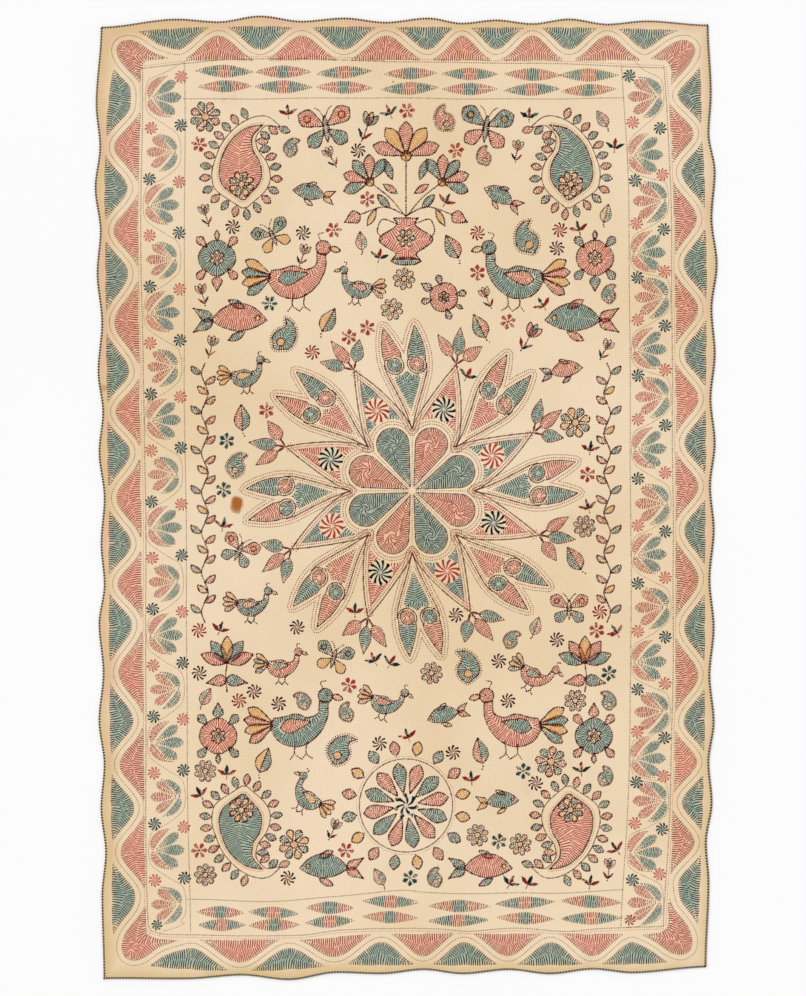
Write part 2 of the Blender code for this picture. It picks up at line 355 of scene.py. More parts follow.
def echo(outline, distance):
    """The outline again, that distance outside itself."""
    edge = counter_clockwise(resample(outline, 1.5, closed=True))
    spots = edge - 1j * headings(edge) * distance
    near = np.abs(spots[:, None] - edge[None, :]).min(axis=1)
    return spots[near > distance - 0.4]


def sweep(spine, halves, steps=36):
    """A closed outline round a spine. halves are its half widths, evenly spaced along it."""
    line = spline(spine) if len(spine) > 2 else np.asarray(spine, complex)
    line = resample(line, np.abs(np.diff(line)).sum() / steps)
    profile = spline(halves).real
    half = np.interp(np.linspace(0, 1, len(line)), np.linspace(0, 1, len(profile)), profile)
    across = 1j * headings(line, closed=False) * np.maximum(half, 0.0)
    return np.concatenate([line + across, (line - across)[::-1]])


PROFILES = {
    "leaf": (0, 0.55, 0.88, 1.0, 0.88, 0.55, 0),
    "petal": (0.04, 0.3, 0.52, 0.74, 0.93, 0.99, 0.72, 0.05),
    "palm": (0.03, 0.17, 0.4, 0.66, 0.9, 1.0, 0.9, 0.25),
    "heart": (0.1, 0.86, 1.0, 0.82, 0.52, 0.22, 0),
    "bud": (0.1, 0.72, 0.98, 1.0, 0.86, 0.6, 0.3, 0),
    "bean": (0.1, 0.8, 1.0, 1.0, 0.8, 0.1),
}


def blade(kind, start, end, width, bend=0.0):
    """An outline of a named profile from start to end, its spine bent to the left by bend."""
    middle = 0.5 * (start + end) + 1j * bend * (end - start) / abs(end - start)
    spine = [start, middle, end] if bend else [start, end]
    return sweep(spine, np.array(PROFILES[kind]) * 0.5 * width)


def ring(centre, radius, count=40):
    return centre + radius * np.exp(2j * pi * np.arange(count) / count)


def polar(radius, degrees):
    return radius * np.exp(1j * np.radians(degrees))


def arc(centre, radius, low, high, count):
    """Places round a centre, from one angle to another."""
    return centre + polar(radius, np.linspace(low, high, count))


# Stitches: rows of place, direction, length, width and tone, by zone and thread

sewn = defaultdict(list)
dyed = defaultdict(list)  # where close filling tints the cloth, by thread
DYES = {DARK: BLUE, BROWN: RED}


def sew(zone, thread, spots, ahead, length, width, tone):
    """Adds stitches. Tone is 0 for fresh thread and 1 for the most faded."""
    count = len(spots)
    shaky = rng.normal(0.0, 1.0, (4, count))
    spots = spots + ahead * SHAKY["place"] * shaky[0]
    ahead = ahead * np.exp(1j * SHAKY["turn"] * shaky[1])
    length = length * (1.0 + SHAKY["length"] * shaky[2])
    tone = np.clip(tone + SHAKY["tone"] * shaky[3], 0.0, 1.0)
    rows = np.empty((count, 5), complex)
    for column, values in enumerate((spots, ahead, length, width, tone)):
        rows[:, column] = values
    sewn[zone, thread].append(rows)


def trace(zone, thread, curve, pitch=PITCH, share=0.6, width=1.1, closed=False, tone=0.4):
    """A line of running stitches."""
    points = resample(curve, pitch, closed)
    sew(zone, thread, points, headings(points, closed), pitch * share, width, tone)


def thin_out(rays):
    """Rays in order, without those that crowd an earlier one in this row."""
    close = np.abs(rays[0][:, None] - rays[0]) < CROWDED
    alive = np.ones(len(close), bool)
    for number in range(len(close) - 1):
        if alive[number]:
            alive[number + 1:] &= ~close[number, number + 1:]
    return rays[:, alive]


def fill_gaps(rays, edge, depth, pitch):
    """One more ray where two neighbours have drawn too far apart."""
    middle = 0.5 * (rays[:, :-1] + rays[:, 1:])
    gap = np.abs(np.diff(rays[0]))
    wide = (gap > GAPS[0] * pitch) & (gap < GAPS[1] * pitch)
    wide &= np.abs(middle[0][:, None] - edge).min(axis=1) > depth - 1.2
    more = middle[:, wide]
    together = np.concatenate([rays, more[:, inside_of(more[0], edge)]], axis=1)
    return together[:, np.argsort(together[2].real, kind="stable")]


def inside_of(spots, edge):
    """Whether each place lies inside a closed outline, by how far the outline turns round it."""
    reach = edge - spots[:, None]
    return np.abs(np.angle(np.roll(reach, -1, axis=1) / reach).sum(axis=1)) > pi


def fill(zone, thread, outline, tone=0.4, inset=LEAST_INSET, bend=0.0, focus=None, clear=(), other=None,
         where=None, pitch=PITCH, fade=0.28):
    """Rows of short stitches, one under another, that make rays from an outline inwards.

    The rays bend by that many degrees a row or flow to a focus, and end where they meet others.
    clear holds circles that stay free, each a centre and a radius. other is the thread used
    instead at the places that the function where picks.
    """
    edge = counter_clockwise(resample(outline, 1.0, closed=True))
    leads = headings(edge)
    start = np.arange(rng.uniform(0.0, pitch), len(edge) - 0.6 * pitch, pitch).astype(int)
    inward = 1j * leads[start]
    tones = tone + rng.normal(0.0, RAY_TONES, len(start))
    rays = np.array([edge[start] + inward * inset, inward, start + 0j, tones])
    rays = rays[:, inside_of(rays[0], edge)]
    laid = np.zeros((2, 0), complex)
    shade = rng.normal(0.0, SHAPE_TONES)
    for row in range(MOST_ROWS):
        depth = inset + row * ROW
        away = rays[0][:, None] - edge
        nearest = np.abs(away).argmin(axis=1)
        away = np.take_along_axis(away, nearest[:, None], 1)[:, 0]
        good = np.abs(away) > (max(inset, LEAST_INSET) if row else inset) - 0.25
        good &= (away * (1j * leads[nearest]).conj()).real > 0.0
        for centre, radius in clear:
            good &= np.abs(rays[0] - centre) > radius
        if focus is not None:
            good &= np.abs(rays[0] - focus) > FOCUS_ROOM
        if row:
            apart = np.abs(rays[0][:, None] - laid[0])
            apart[rays[2][:, None] == laid[1]] = np.inf
            good &= apart.min(axis=1) > CROWDED
        rays = thin_out(rays[:, good])
        if focus is None and rays.shape[1] > 1:
            rays = thin_out(fill_gaps(rays, edge, depth, pitch))
        if not rays.shape[1]:
            return
        spots, inward = rays[0], rays[1]
        towards = inward * np.exp(1j * radians(bend) * row)
        if focus is not None:
            pull = FOCUS_PULL[0] + FOCUS_PULL[1] * smooth(depth / FOCUS_PULL[2])
            towards = inward * (1.0 - pull) + (focus - spots) / np.abs(focus - spots) * pull
            towards = towards * np.exp(1j * radians(bend) * min(row, 8))
        towards = towards / np.maximum(np.abs(towards), 1e-9)
        room = np.minimum(np.abs(spots - np.roll(spots, 1)), np.abs(spots - np.roll(spots, -1)))
        length = STITCH["share"] * np.clip(room, LEAST_ROOM, pitch)
        faded = rays[3].real + shade + fade * smooth((depth - 1.0) / FADE_REACH)
        swapped = where(spots) if other else np.zeros(len(spots), bool)
        for name, mine in ((thread, ~swapped), (other, swapped)):
            if mine.any():
                sew(zone, name, spots[mine], -1j * towards[mine], length[mine], STITCH["width"], faded[mine])
                if depth > DYE_INSETS[zone]:
                    dyed[DYES.get(name, name)].append(spots[mine])
        laid = np.concatenate([laid, rays[[0, 2]]], axis=1)
        rays = np.array([spots + towards * ROW, inward, rays[2], rays[3]])


def mirrored(side):
    """A whole outline from the half of it on one side of its axis."""
    side = np.asarray(side)
    return np.concatenate([side, side[::-1].conj()])


def twisted(spots):
    """The lotus leans a little the same way round, more so further out."""
    away = spots - LOTUS
    return LOTUS + away * np.exp(1j * LEAN * np.maximum(np.abs(away) - PETALS, 0.0))


class Pen:
    """A needle at work in one zone, at a place, turn and size of its own, and perhaps left-handed."""

    def __init__(self, zone, at=0j, turn=0.0, size=1.0, flip=False):
        self.zone, self.at, self.way, self.flip = zone, at, polar(size, turn), flip

    def put(self, curve):
        curve = np.asarray(curve, complex)
        placed = self.at + (-curve.conj() if self.flip else curve) * self.way
        return twisted(placed) if self.zone == "lotus" else placed

    def moved(self, at=0j, turn=0.0, size=1.0, flip=False):
        """A pen inside this one's own space."""
        inner = Pen(self.zone)
        way = polar(size, turn)
        inner.at = self.at + (-np.conj(at) if self.flip else at) * self.way
        inner.way = self.way * (np.conj(way) if self.flip else way)
        inner.flip = self.flip != flip
        return inner

    def line(self, thread, points, closed=False, smoothed=True, **how):
        curve = spline(points, closed) if smoothed and len(points) > 2 else points
        trace(self.zone, thread, self.put(curve), closed=closed, **how)

    def fill(self, thread, outline, edge=BROWN, edge_tone=0.06, **how):
        """A filled shape with a close line of stitches round it, unless edge is None."""
        outline = self.put(outline)
        if edge:
            width = EDGE_WIDTHS[self.zone] * np.clip(abs(self.way), 0.6, 1.0)
            trace(self.zone, edge, outline, 3.2, 0.95, width, closed=True, tone=edge_tone)
            how = {"inset": 2.4, "pitch": 3.9, **how}
        fill(self.zone, thread, outline, **how)

    def blade(self, thread, kind, start, end, width, bend=0.0, **how):
        self.fill(thread, blade(kind, start, end, width, bend), **how)

    def blades(self, *parts):
        """Filled shapes, each given as its thread, profile, start, end and width."""
        for part in parts:
            self.blade(*part)

    def fan(self, threads, kind, turns, start, end, width, centre=0j):
        """Blades that open from a centre at those turns, their threads in turn."""
        for number, turn in enumerate(turns):
            ends = centre + polar(start, turn), centre + polar(end, turn)
            self.blade(threads[number % len(threads)], kind, *ends, width)

    def stem(self, *points):
        self.line(BROWN, points, **STALK)

    def disc(self, thread, centre, radius, **how):
        self.fill(thread, ring(centre, radius), **how)

    def pinwheel(self, thread, centre, radius, arms=9, hand=1, tone=0.35, curl=0.65):
        """Comma-shaped arms round a middle, each a few close stitches that lengthen outwards."""
        scale = abs(self.way)
        reach = np.arange(0.2 * radius * scale, 0.98 * radius * scale, 1.4) / (radius * scale)
        for arm in range(arms):
            angle = 2 * pi * arm / arms + hand * curl * reach**1.3
            curve = self.put(centre + radius * reach * np.exp(1j * angle))
            across = 1j * headings(curve, closed=False)
            width = 2 * pi * radius * scale * reach / arms
            sew(self.zone, thread, curve, across, 0.48 * width + 0.3, CLOSE_WIDTH, tone)
            dyed[DYES.get(thread, RED)].append(curve[::2])

    def satin(self, thread, kind, start, end, width, tone=0.2):
        """A small solid shape of close stitches, side by side across it."""
        scale = abs(self.way)
        count = max(int(abs(end - start) * scale / 1.7), 2)
        share = (np.arange(count) + 0.5) / count
        curve = self.put(start + (end - start) * share)
        profile = PROFILES[kind]
        across = width * scale * np.interp(share, np.linspace(0, 1, len(profile)), profile)
        ahead = 1j * headings(curve, closed=False)
        sew(self.zone, thread, curve, ahead, np.maximum(across, 1.0), CLOSE_WIDTH, tone)

    def echo(self, thread, outline, distance, **how):
        trace(self.zone, thread, echo(self.put(outline), distance), closed=True, **how)


# The border


def base_out(side, along):
    """How far out from the inner frame line the outer hills have their base."""
    edge = rim(MARGINS[side])
    number, out = side_of(edge)
    mine = number == SIDES.index(side)
    places = along_of(side, edge[mine])
    order = np.argsort(places)
    return np.interp(along, places[order], out[mine][order])


def runs(curve, mask):
    """The longer stretches of a closed curve where mask holds."""
    start = int(np.argmin(mask))
    curve, mask = np.roll(curve, -start), np.roll(mask, -start)
    ends = np.flatnonzero(np.diff(np.concatenate([[0], mask.astype(int), [0]])))
    return [curve[low:high] for low, high in zip(ends[::2], ends[1::2]) if high - low >= LEAST_CREST]


def sew_border():
    """The plain band, with a blue hill outside each of its waves and a red one inside."""
    centre = band_line()
    out = -1j * headings(centre)
    swell = smooth(np.abs(side_of(centre)[1] / BAND_IN - 2.5) - 0.8)  # towards its crests, in and out
    half = BAND_HALF_WIDTH + BAND_SWELL * swell
    outer, inner = centre + out * half, centre - out * half
    number, reach = side_of(outer)
    inside = np.zeros(len(outer), bool)
    for index, side in enumerate(SIDES):
        mine = number == index
        along = along_of(side, outer[mine])
        first, last = HILLS[side][[0, -1], 0]
        inside[mine] = reach[mine] < np.minimum(base_out(side, along), TIP_OUT) - 0.8
        inside[mine] &= (along > first - END_REACH[0]) & (along < last + END_REACH[1])
    for crest in runs(outer, inside):
        side = SIDES[np.bincount(side_of(crest)[0]).argmax()]
        share = np.linspace(0.0, 1.0, 41)[1:-1]
        middle = 0.5 * (crest[0] + crest[-1])
        rise = base_out(side, along_of(side, middle)) - side_of(middle)[1]
        rise = 0.25 * rise * np.sin(pi * share) ** 0.7 - 1.5 * np.exp(-(((share - 0.5) / 0.08) ** 2))
        base = crest[-1] * (1 - share) + crest[0] * share + rise * OUTWARDS[side]
        bend = (3.5 if side == "right" else 2.2) * rng.choice([-1, 1])
        fill("border", BLUE, np.concatenate([crest, base]), SIDE_TONES[side], bend=bend, fade=0.45, pitch=4.1)
    number, reach = side_of(inner)
    tips = {side: max(base + 2.0, 9.0) for side, base in INNER_BASES.items()}
    for crest in runs(inner, reach > np.array([tips[side] for side in SIDES])[number]):
        first, last = (SIDES[n] for n in side_of(crest[[2, -3]])[0])
        if first == last:
            fall = tips[first] - INNER_BASES[first]
            ends = [point - fall * OUTWARDS[first] for point in (crest[-1], crest[0])]
            middle = 0.5 * sum(ends) + 1.8 * OUTWARDS[first]
            notch = [ends[0], 0.54 * ends[0] + 0.46 * ends[1], middle, ends[1]]
        else:
            notch = corner_places(CORNER_NOTCH, first, last)
            notch = notch[::-1] if first in LONG_SIDES else notch
        bend = 2.2 * rng.choice([-1, 1])
        tone = 0.15 if first != last else rng.uniform(0.15, 0.42)
        fill("border", RED, np.concatenate([crest, notch]), tone, bend=bend, fade=0.35, pitch=3.9)
    trace("border", OLIVE, centre, 3.4, 0.66, 1.4, closed=True, tone=0.3)
    for side in (-1, 1):
        trace("border", PALE, centre + out * 3.8 * side, 4.4, 0.55, 0.9, closed=True)


# The dotted frames and the bands inside the border


def wavy(points):
    """A line through the points as a hand draws it."""
    line = resample(spline(points) if len(points) > 2 else np.array(points), 12.0)
    t = np.linspace(0.0, 1.0, len(line))
    bend = np.sin(t * rng.uniform(9, 15) + rng.uniform(0, 6)) + 0.5 * np.sin(t * rng.uniform(25, 38))
    return line + 1j * headings(line, closed=False) * bend


def sew_frames():
    low, high = FIELD_FRAME["bottom"], FIELD_FRAME["top"]
    for points in FRAME_LINES.values():
        line = wavy(points)
        trace("bands", OLIVE, line, 4.2, 0.52, 2.3, tone=0.12)
        trace("bands", PINK, line - 1j * headings(line, closed=False) * 4.4, 4.3, 0.5, 1.4, tone=0.6)
    left, right = FIELD_LINES["left"][0].real, FIELD_RIGHT
    up = [right + bulge(y) + 1j * y for y in np.linspace(-771.0, 776.0, 9)]
    top = [left + 1j * high, right + bulge(high) + 1j * high]
    for points in (FIELD_LINES["left"], up, FIELD_LINES["bottom"], top):
        trace("bands", OLIVE, wavy(points), 4.2, 0.52, 2.1, tone=0.2)


FAN_FITS = {("left", False): (-6.0, 0.9), ("right", True): (3.0, 1.0)}  # nearer its line, and size
VINE_ENDS = {"left": [-399 - 767j, -415 - 775j, -436 - 781j], "right": [444 - 765j, 419 - 772j, 392 - 775j]}
WHEEL_PLACES = {  # in from the left line and from the right one, and down if it is dark or pink
    "left": (14.5, 9.0, 1.0, 6.0), "right": (13.5, 13.5, 4.5, -6.0),
}
FAN_PETALS = ((35, 53, 17), (1, 54, 19), (-34, 51, 17))  # turn, length and width
CRESCENTS = ([-4 - 1j, -8 + 11j, -3 + 25j, 10 + 36j, 31 + 41j, 20 + 30j, 8 + 16j, 1 + 5j],
             [-4 - 0j, -7 - 12j, 1 - 25j, 16 - 33j, 38 - 35j, 26 - 28j, 12 - 17j, 2 - 5j])


def sew_fan(pen, petals, crescents, tone):
    for turn, length, width in FAN_PETALS:
        pen.blade(petals, "palm", 0j, polar(length, turn), width, edge=None, tone=tone, inset=1.0, pitch=3.6)
    for points in CRESCENTS:
        tip = points.index(max(points, key=lambda p: p.real))
        outline = np.concatenate([spline(points[: tip + 1]), spline(points[tip:] + points[:1])[1:-1]])
        pen.fill(crescents, outline, edge=None, tone=tone + 0.1, inset=0.9, pitch=3.6)


def band_lines(side, along):
    """Where a side band's left and right line run at a height."""
    if side == "left":
        shift = side_shift("left", along)
        return -476.0 - 0.75 * shift, -399.0 - 0.7 * shift
    return FIELD_RIGHT + bulge(along), FRAME_LINES["right"][-1].real + bulge(along)


def sew_side_band(side):
    """Fans that open left and right in turn, a vine that winds behind them, and a pair of wheels between."""
    rows = FAN_ROWS[side]
    left, right = band_lines(side, 760.0)
    vine = [left + 22 + 785j, left + 40 + 768j] if side == "right" else [right + 785j, right - 34 + 766j]
    sew_wheel_pair(side, 762.0, ("", PINK) if side == "left" else (DARK, ""))
    for row, y in enumerate(rows):
        left, right = band_lines(side, y)
        opens_right = row % 2 == (0 if side == "left" else 1)
        way, base = (1, left) if opens_right else (-1, right)
        close, size = FAN_FITS.get((side, opens_right), (0.0, 1.0))
        pen = Pen("bands", base + (14 - close) * way + 1j * y, 0 if opens_right else 180, size)
        sew_fan(pen, *(BLUE_RED if opens_right else RED_BLUE), 0.16 + 0.12 * rng.random())
        for rise, depth in ((34, 12.0), (23, 6.0), (8, 3.5), (-8, 3.5), (-20, 5.5), (-31, 13.0)):
            vine.append(base + (depth - close / 2) * way + 1j * (y + rise))
        if row < len(rows) - 1:
            middle = 0.5 * (y + rows[row + 1])
            vine.append(0.5 * (left + right) + 1j * middle)
            sew_wheel_pair(side, middle, (DARK, PINK) if row % 2 else (PINK, DARK), hand=(-1) ** row)
    vine += VINE_ENDS[side]
    foot = -448 - 770j if side == "left" else 403 - 761j
    Pen("bands").pinwheel(DARK if side == "left" else RED, foot, 9.5, 8, tone=0.15)
    trace("bands", OLIVE, spline(vine), 3.4, 0.6, 1.4, tone=0.4)


def sew_wheel_pair(side, along, threads, hand=1):
    """A wheel beside each line of a band, one of them dark."""
    left, right = band_lines(side, along)
    from_left, from_right, *falls = WHEEL_PLACES[side]
    for x, thread in zip((left + from_left, right - from_right), threads):
        if thread:
            fall, tone = (falls[0], 0.1) if thread == DARK else (falls[1], 0.45)
            Pen("bands").pinwheel(thread, x + 1j * (along - fall), 11.6, 9, hand=hand, tone=tone)


def sew_lenses():
    """Two rows of long lenses at each end, each with a middle of the other colour."""
    half = np.linspace(0.0, 1.0, 40)
    high = 11.6 * (1.0 - half**1.6)
    for end, lenses in enumerate(LENSES):
        for place, (across, reach, *heights) in enumerate(lenses):
            side = np.concatenate([-reach * half[::-1] + 1j * high[::-1], reach * half[1:] + 1j * high[1:]])
            for number, height in enumerate(heights):
                colours = BLUE_RED if (number + place + end) % 2 == 0 else RED_BLUE
                spot = across + 1j * height + rng.normal(0.0, 0.8)
                pen = Pen("bands", spot, rng.normal(0.5, 1.6), 1.0 + 0.02 * rng.normal())
                block = rng.normal(11.5, 0.8)
                tone = 0.1 + 0.15 * rng.random()
                pen.fill(colours[0], mirrored(side), edge=None, tone=tone, inset=1.2, pitch=3.7,
                         other=colours[1], where=lambda spots: np.abs(spots.real - spot.real) < block)


# The lotus, in pixels of the picture out along each axis and across it

PANEL_SIDE = [58 + 24j, 66 + 23.5j, 78 + 21j, 92 + 17j, 105 + 12.5j, 120 + 6.5j, 134 + 0j]
DROP_BOWL = (126.5 + 11.2j, 9.4)  # its middle and radius
DROP_SIDES = [138.5 + 3.7j, 148 + 7.5j, 157 + 11.7j, 165 + 15.7j, 156 + 18.6j, 146 + 20.8j, 136.5 + 21.2j]
PAIR_STEM = [62 + 0.5j, 76 + 4j, 90 + 9j, 104 + 14.5j, 118 + 19.8j, 126 + 21.2j]
PAIR_SIDE = PAIR_STEM + [134 + 22j, 143 + 21.4j, 154 + 19.4j, 166 + 15.7j, 154 + 9j, 143 + 4.6j, 134 + 1.2j]
PAIR_LEAF = [78 + 0j, 92 + 5.4j, 104 + 10.3j, 113 + 13.4j, 117 + 11j, 116.5 + 5j, 121 + 0j]
BELLY = 50.5  # the middle of a petal's round end
FIRM = {"pitch": 3.2, "share": 0.95, "width": 2.8, "tone": 0.35}
LINING = {"pitch": 3.9, "share": 0.55, "width": 2.2}
ECHO = {"pitch": 4.0, "share": 0.55, "width": 2.3}
DOTS = {"pitch": 4.0, "share": 0.55, "width": 2.1}


def sew_lotus():
    for number in range(8):
        colours = BLUE_RED if number % 2 == 0 else RED_BLUE
        pen = Pen("lotus", LOTUS, 22.5 + 45.0 * number, PX)
        sew_petal(pen, colours[0])
        sew_panel(pen, colours[0], 1 if number % 2 else -1)
        sew_spray(pen.moved(at=134 + 0j, turn=3.0), colours)
        drops = BLUE_RED if number == 7 else RED_BLUE
        sew_pair(Pen("lotus", LOTUS, 45.0 * number, PX), colours[0], drops)


def sew_petal(pen, thread):
    """A drop with its point at the middle."""
    drop = np.concatenate([[5 + 0j], arc(BELLY, 16, -106, 106, 40)])
    pen.fill(thread, drop, tone=0.12, focus=pen.put(49 + 0j), bend=4.0)
    pen.line(PINK, arc(BELLY, 20.0, -86, 86, 30), smoothed=False, tone=0.1, **ECHO)
    pen.line(OLIVE, arc(BELLY, 22.8, -72, 72, 30), smoothed=False, tone=0.2, **DOTS)
    pen.moved(turn=22.5).line(BROWN, [4 + 0j, 60 + 0j], pitch=4.1, share=0.5, width=1.6, tone=0.6)


def sew_panel(pen, thread, hand):
    """The shield beyond a petal, with a wheel in it."""
    side = spline(PANEL_SIDE)
    panel = np.concatenate([side, side[::-1].conj()[1:], arc(BELLY, 20.5, -58, 58, 24)])
    for sign in (-1, 1):
        line = side if sign > 0 else side.conj()
        pen.line(BROWN, line, smoothed=False, **FIRM)
        for near, tone in ((2.3, 0.1), (4.4, 0.5)):
            pen.line(PINK, line - 1j * near * sign - 0.8 * near, smoothed=False, tone=tone, **LINING)
    wheel = pen.put(87.5 + 0j)
    pen.fill(thread, panel, edge=None, tone=0.25, inset=9.6, pitch=3.9, clear=[(wheel, 12.6 * PX)])
    thread, tone = (RED, 0.6) if thread == BLUE else (DARK, 0.05)
    pen.pinwheel(thread, 87.5 + 0j, 12.0, 11, hand, tone, 0.4)


def sew_spray(pen, colours):
    """Three pointed leaves on short stems at a panel's tip."""
    outer, middle = colours
    for turn, thread, reach in ((-44.0, outer, 33.0), (2.0, middle, 36.0), (44.0, outer, 33.0)):
        pen.satin(BROWN, "bean", polar(0.8, turn), polar(9.8, turn), 2.7, tone=0.55)
        pen.blade(thread, "bud", polar(9.0, turn), polar(reach, turn), 11.6, tone=0.3, edge_tone=0.55)


def sew_pair(pen, base_thread, drops):
    """Two paisleys side by side on long stems, with a leaf between the stems."""
    for sign, thread, eye in ((1, *drops), (-1, *drops[::-1])):
        centre, radius = DROP_BOWL
        bowl = arc(centre, radius, 75, 305, 24)
        drop = np.concatenate([bowl, spline(DROP_SIDES[:4]), spline(DROP_SIDES[3:])])
        drop, stem, centre = [np.real(p) + 1j * sign * np.imag(p) for p in (drop, PAIR_STEM, centre)]
        pen.fill(thread, drop, tone=0.25, clear=[(pen.put(centre), 8.4 * PX)])
        pen.disc(eye, centre, 7.0, tone=0.15, bend=12.0)
        pen.line(BROWN, stem, **FIRM)
        pen.line(PINK, stem[1:-1] - 2.4j * sign, tone=0.1, **LINING)
    pen.echo(PINK, mirrored(PAIR_SIDE), 4.6, tone=0.1, **ECHO)
    pen.echo(OLIVE, mirrored(PAIR_SIDE), 10.0, tone=0.3, **DOTS)
    pen.fill(base_thread, mirrored(PAIR_LEAF), edge=None, tone=0.35, inset=1.6, pitch=3.9)


# Motifs of the field, in millimetres round their own middle, each in two threads of its own

STALK = {"pitch": 3.2, "share": 0.92, "width": 2.9, "tone": 0.15}
FINE = {"pitch": 3.2, "share": 0.92, "width": 2.2, "tone": 0.2}


def beside(sign, *spots):
    """Places as given, or mirrored to the other side when sign is -1."""
    return [sign * spot.real + 1j * spot.imag for spot in spots]


def sew_rosette(pen, radius, petals, threads, wheel=None):
    """Round-headed petals about a disc or a wheel."""
    inner = 0.3 * radius
    width = 2.0 * pi * radius * 0.72 / petals * 0.82
    pen.fan(threads, "petal", 360.0 * np.arange(petals) / petals, inner, radius, width)
    if wheel:
        pen.pinwheel(wheel, 0j, inner * 0.95, 7)
    else:
        pen.disc(OCHRE, 0j, inner * 0.8)


def sew_kalka(pen, main, second):
    """A tall curved paisley with a flower in its bowl and a fringe of leaves."""
    spine = [-4 - 62j, -2 - 34j, 2 - 4j, 2 + 26j, -10 + 52j, -34 + 66j, -56 + 58j]
    body = sweep(spine, [4, 38, 42, 30, 17, 9, 1])
    inner = sweep([-3 - 50j, -1 - 34j, 2 - 4j, 2 + 24j, -9 + 47j, -30 + 60j], [3, 28, 30, 20, 9, 0.5])
    pen.line(BROWN, body, closed=True, smoothed=False, **FINE)
    pen.line(OCHRE, echo(inner, 3.5), closed=True, smoothed=False, pitch=3.2, share=0.7, width=1.5)
    pen.fill(main, inner, clear=[(pen.put(-27j), 21.0)])
    sew_rosette(pen.moved(at=-27j, turn=20), 19.0, 8, (second, OCHRE))
    edge = resample(echo(body, 1.5), 15.0, closed=True)
    for number, (spot, way) in enumerate(zip(edge, -1j * headings(edge))):
        if spot.imag < 60 or spot.real > -20:
            pen.blade((second, main)[number % 2], "leaf", spot, spot + way * 17, 10.0)


VASE_FLOWERS = ((48j, 90, 1.25, (RED, OCHRE)), (-58 + 6j, 128, 1.0, BLUE_RED), (58 + 6j, 52, 1.0, BLUE_RED))
VASE_LEAVES = (  # of its right side
    (RED, "heart", 74 - 46j, 99 - 59j, 20), (BLUE, "leaf", 26 - 36j, 46 - 14j, 11),
    (OCHRE, "leaf", 48 - 38j, 62 - 64j, 10), (BLUE, "leaf", 22 + 10j, 34 + 42j, 12),
    (RED, "leaf", 14 - 12j, 36 + 2j, 10),
)


def sew_vase(pen):
    """A pot with three fans of petals, buds and leaves."""
    body = sweep([-118j, -52j], [22, 16, 30, 42, 40, 24, 14, 20])
    pen.fill(RED, body, clear=[(pen.put(-84j), 17.0)])
    sew_rosette(pen.moved(at=-84j), 15.0, 6, (BLUE, OCHRE))
    pen.blade(BLUE, "bean", -24 - 121j, 24 - 121j, 12)
    for sign in (-1, 1):
        pen.stem(*beside(sign, 17 - 60j, 38 - 54j, 46 - 72j, 38 - 86j))
    for top, turn, size, threads in VASE_FLOWERS:
        pen.stem(-50j, top * 0.45 - 22j, top)
        flower = pen.moved(at=top, turn=turn, size=size)
        flower.fan(threads, "petal", (-72, -36, 0, 36, 72), 3, 44, 17)
        flower.disc(OCHRE, 0j, 6.5)
    for sign in (-1, 1):
        pen.stem(*beside(sign, -48j, 34 - 34j, 74 - 46j))
        for thread, kind, start, end, width in VASE_LEAVES:
            pen.blade(thread, kind, *beside(sign, start, end), width)


def sew_medallion(pen):
    """A round flower of twelve petals with a ring of leaves."""
    sew_rosette(pen, 64.0, 12, RED_BLUE, wheel=DARK)
    pen.line(BROWN, ring(0, 70), closed=True, smoothed=False, **FINE)
    pen.line(PINK, ring(0, 74), closed=True, smoothed=False, pitch=3.6, width=1.0)
    pen.fan((OCHRE, RED, BLUE), "leaf", 22.5 * np.arange(16), 76, 98, 15)


WING_ROOM = ((8 - 2j, 5.0), (0 - 4j, 7.4), (-7 - 5.5j, 8.8), (-14 - 6.7j, 8.0))  # circles free of its filling


def sew_goose(pen, main, wing):
    """A plump bird, standing, with a wing and a fan of tail feathers."""
    body = sweep([-30 - 2j, -10 - 10j, 14 - 8j, 30 + 6j, 32 + 24j], [6, 17, 19, 12, 6, 5])
    pen.fill(main, body, clear=[(pen.put(spot), radius * abs(pen.way)) for spot, radius in WING_ROOM])
    pen.disc(main, 34 + 31j, 8.5)
    pen.disc(DARK, 36 + 32j, 2.0, edge=None, inset=0.7)
    pen.blades((OCHRE, "leaf", 41 + 31j, 55 + 27j, 7), (wing, "petal", 16 + 0j, -20 - 8j, 17))
    pen.fan((OCHRE, wing), "petal", (150, 172, 194, 216), 4, 38, 12, centre=-26 - 3j)
    for foot in (-2, 12):
        pen.stem(foot - 25j, foot - 1 - 38j, foot + 6 - 44j)
        pen.stem(foot - 1 - 38j, foot - 6 - 45j)
    pen.line(BROWN, [31 + 40j, 28 + 47j, 34 + 49j], **FINE)


def sew_butterfly(pen, upper, lower):
    for sign in (-1, 1):
        pen.blade(upper, "petal", *beside(sign, 3 + 4j, 40 + 26j), 27)
        pen.blade(lower, "petal", *beside(sign, 3 - 3j, 30 - 26j), 22)
        pen.disc(OCHRE, sign * 27 + 17.5j, 5.5)
        pen.line(BROWN, beside(sign, 2 + 18j, 7 + 28j, 13 + 33j), **FINE)
    pen.blade(DARK, "leaf", -22j, 20j, 9)


def sew_fish(pen, main, second):
    """A fish with a filled head and belly, a tail and fins."""
    pen.blade(main, "leaf", -34 + 0j, 36 + 0j, 34, 4.0, clear=[(pen.put(24 + 3j), 5.0)])
    pen.disc(OCHRE, 24 + 3j, 3.2, edge=DARK, inset=0.8)
    for sign in (-1, 1):
        pen.blade(second, "heart", -32 + 0j, -56 + sign * 15j, 13)
        pen.blade(second, "leaf", 8 + sign * 15j, -12 + sign * 25j, 9)


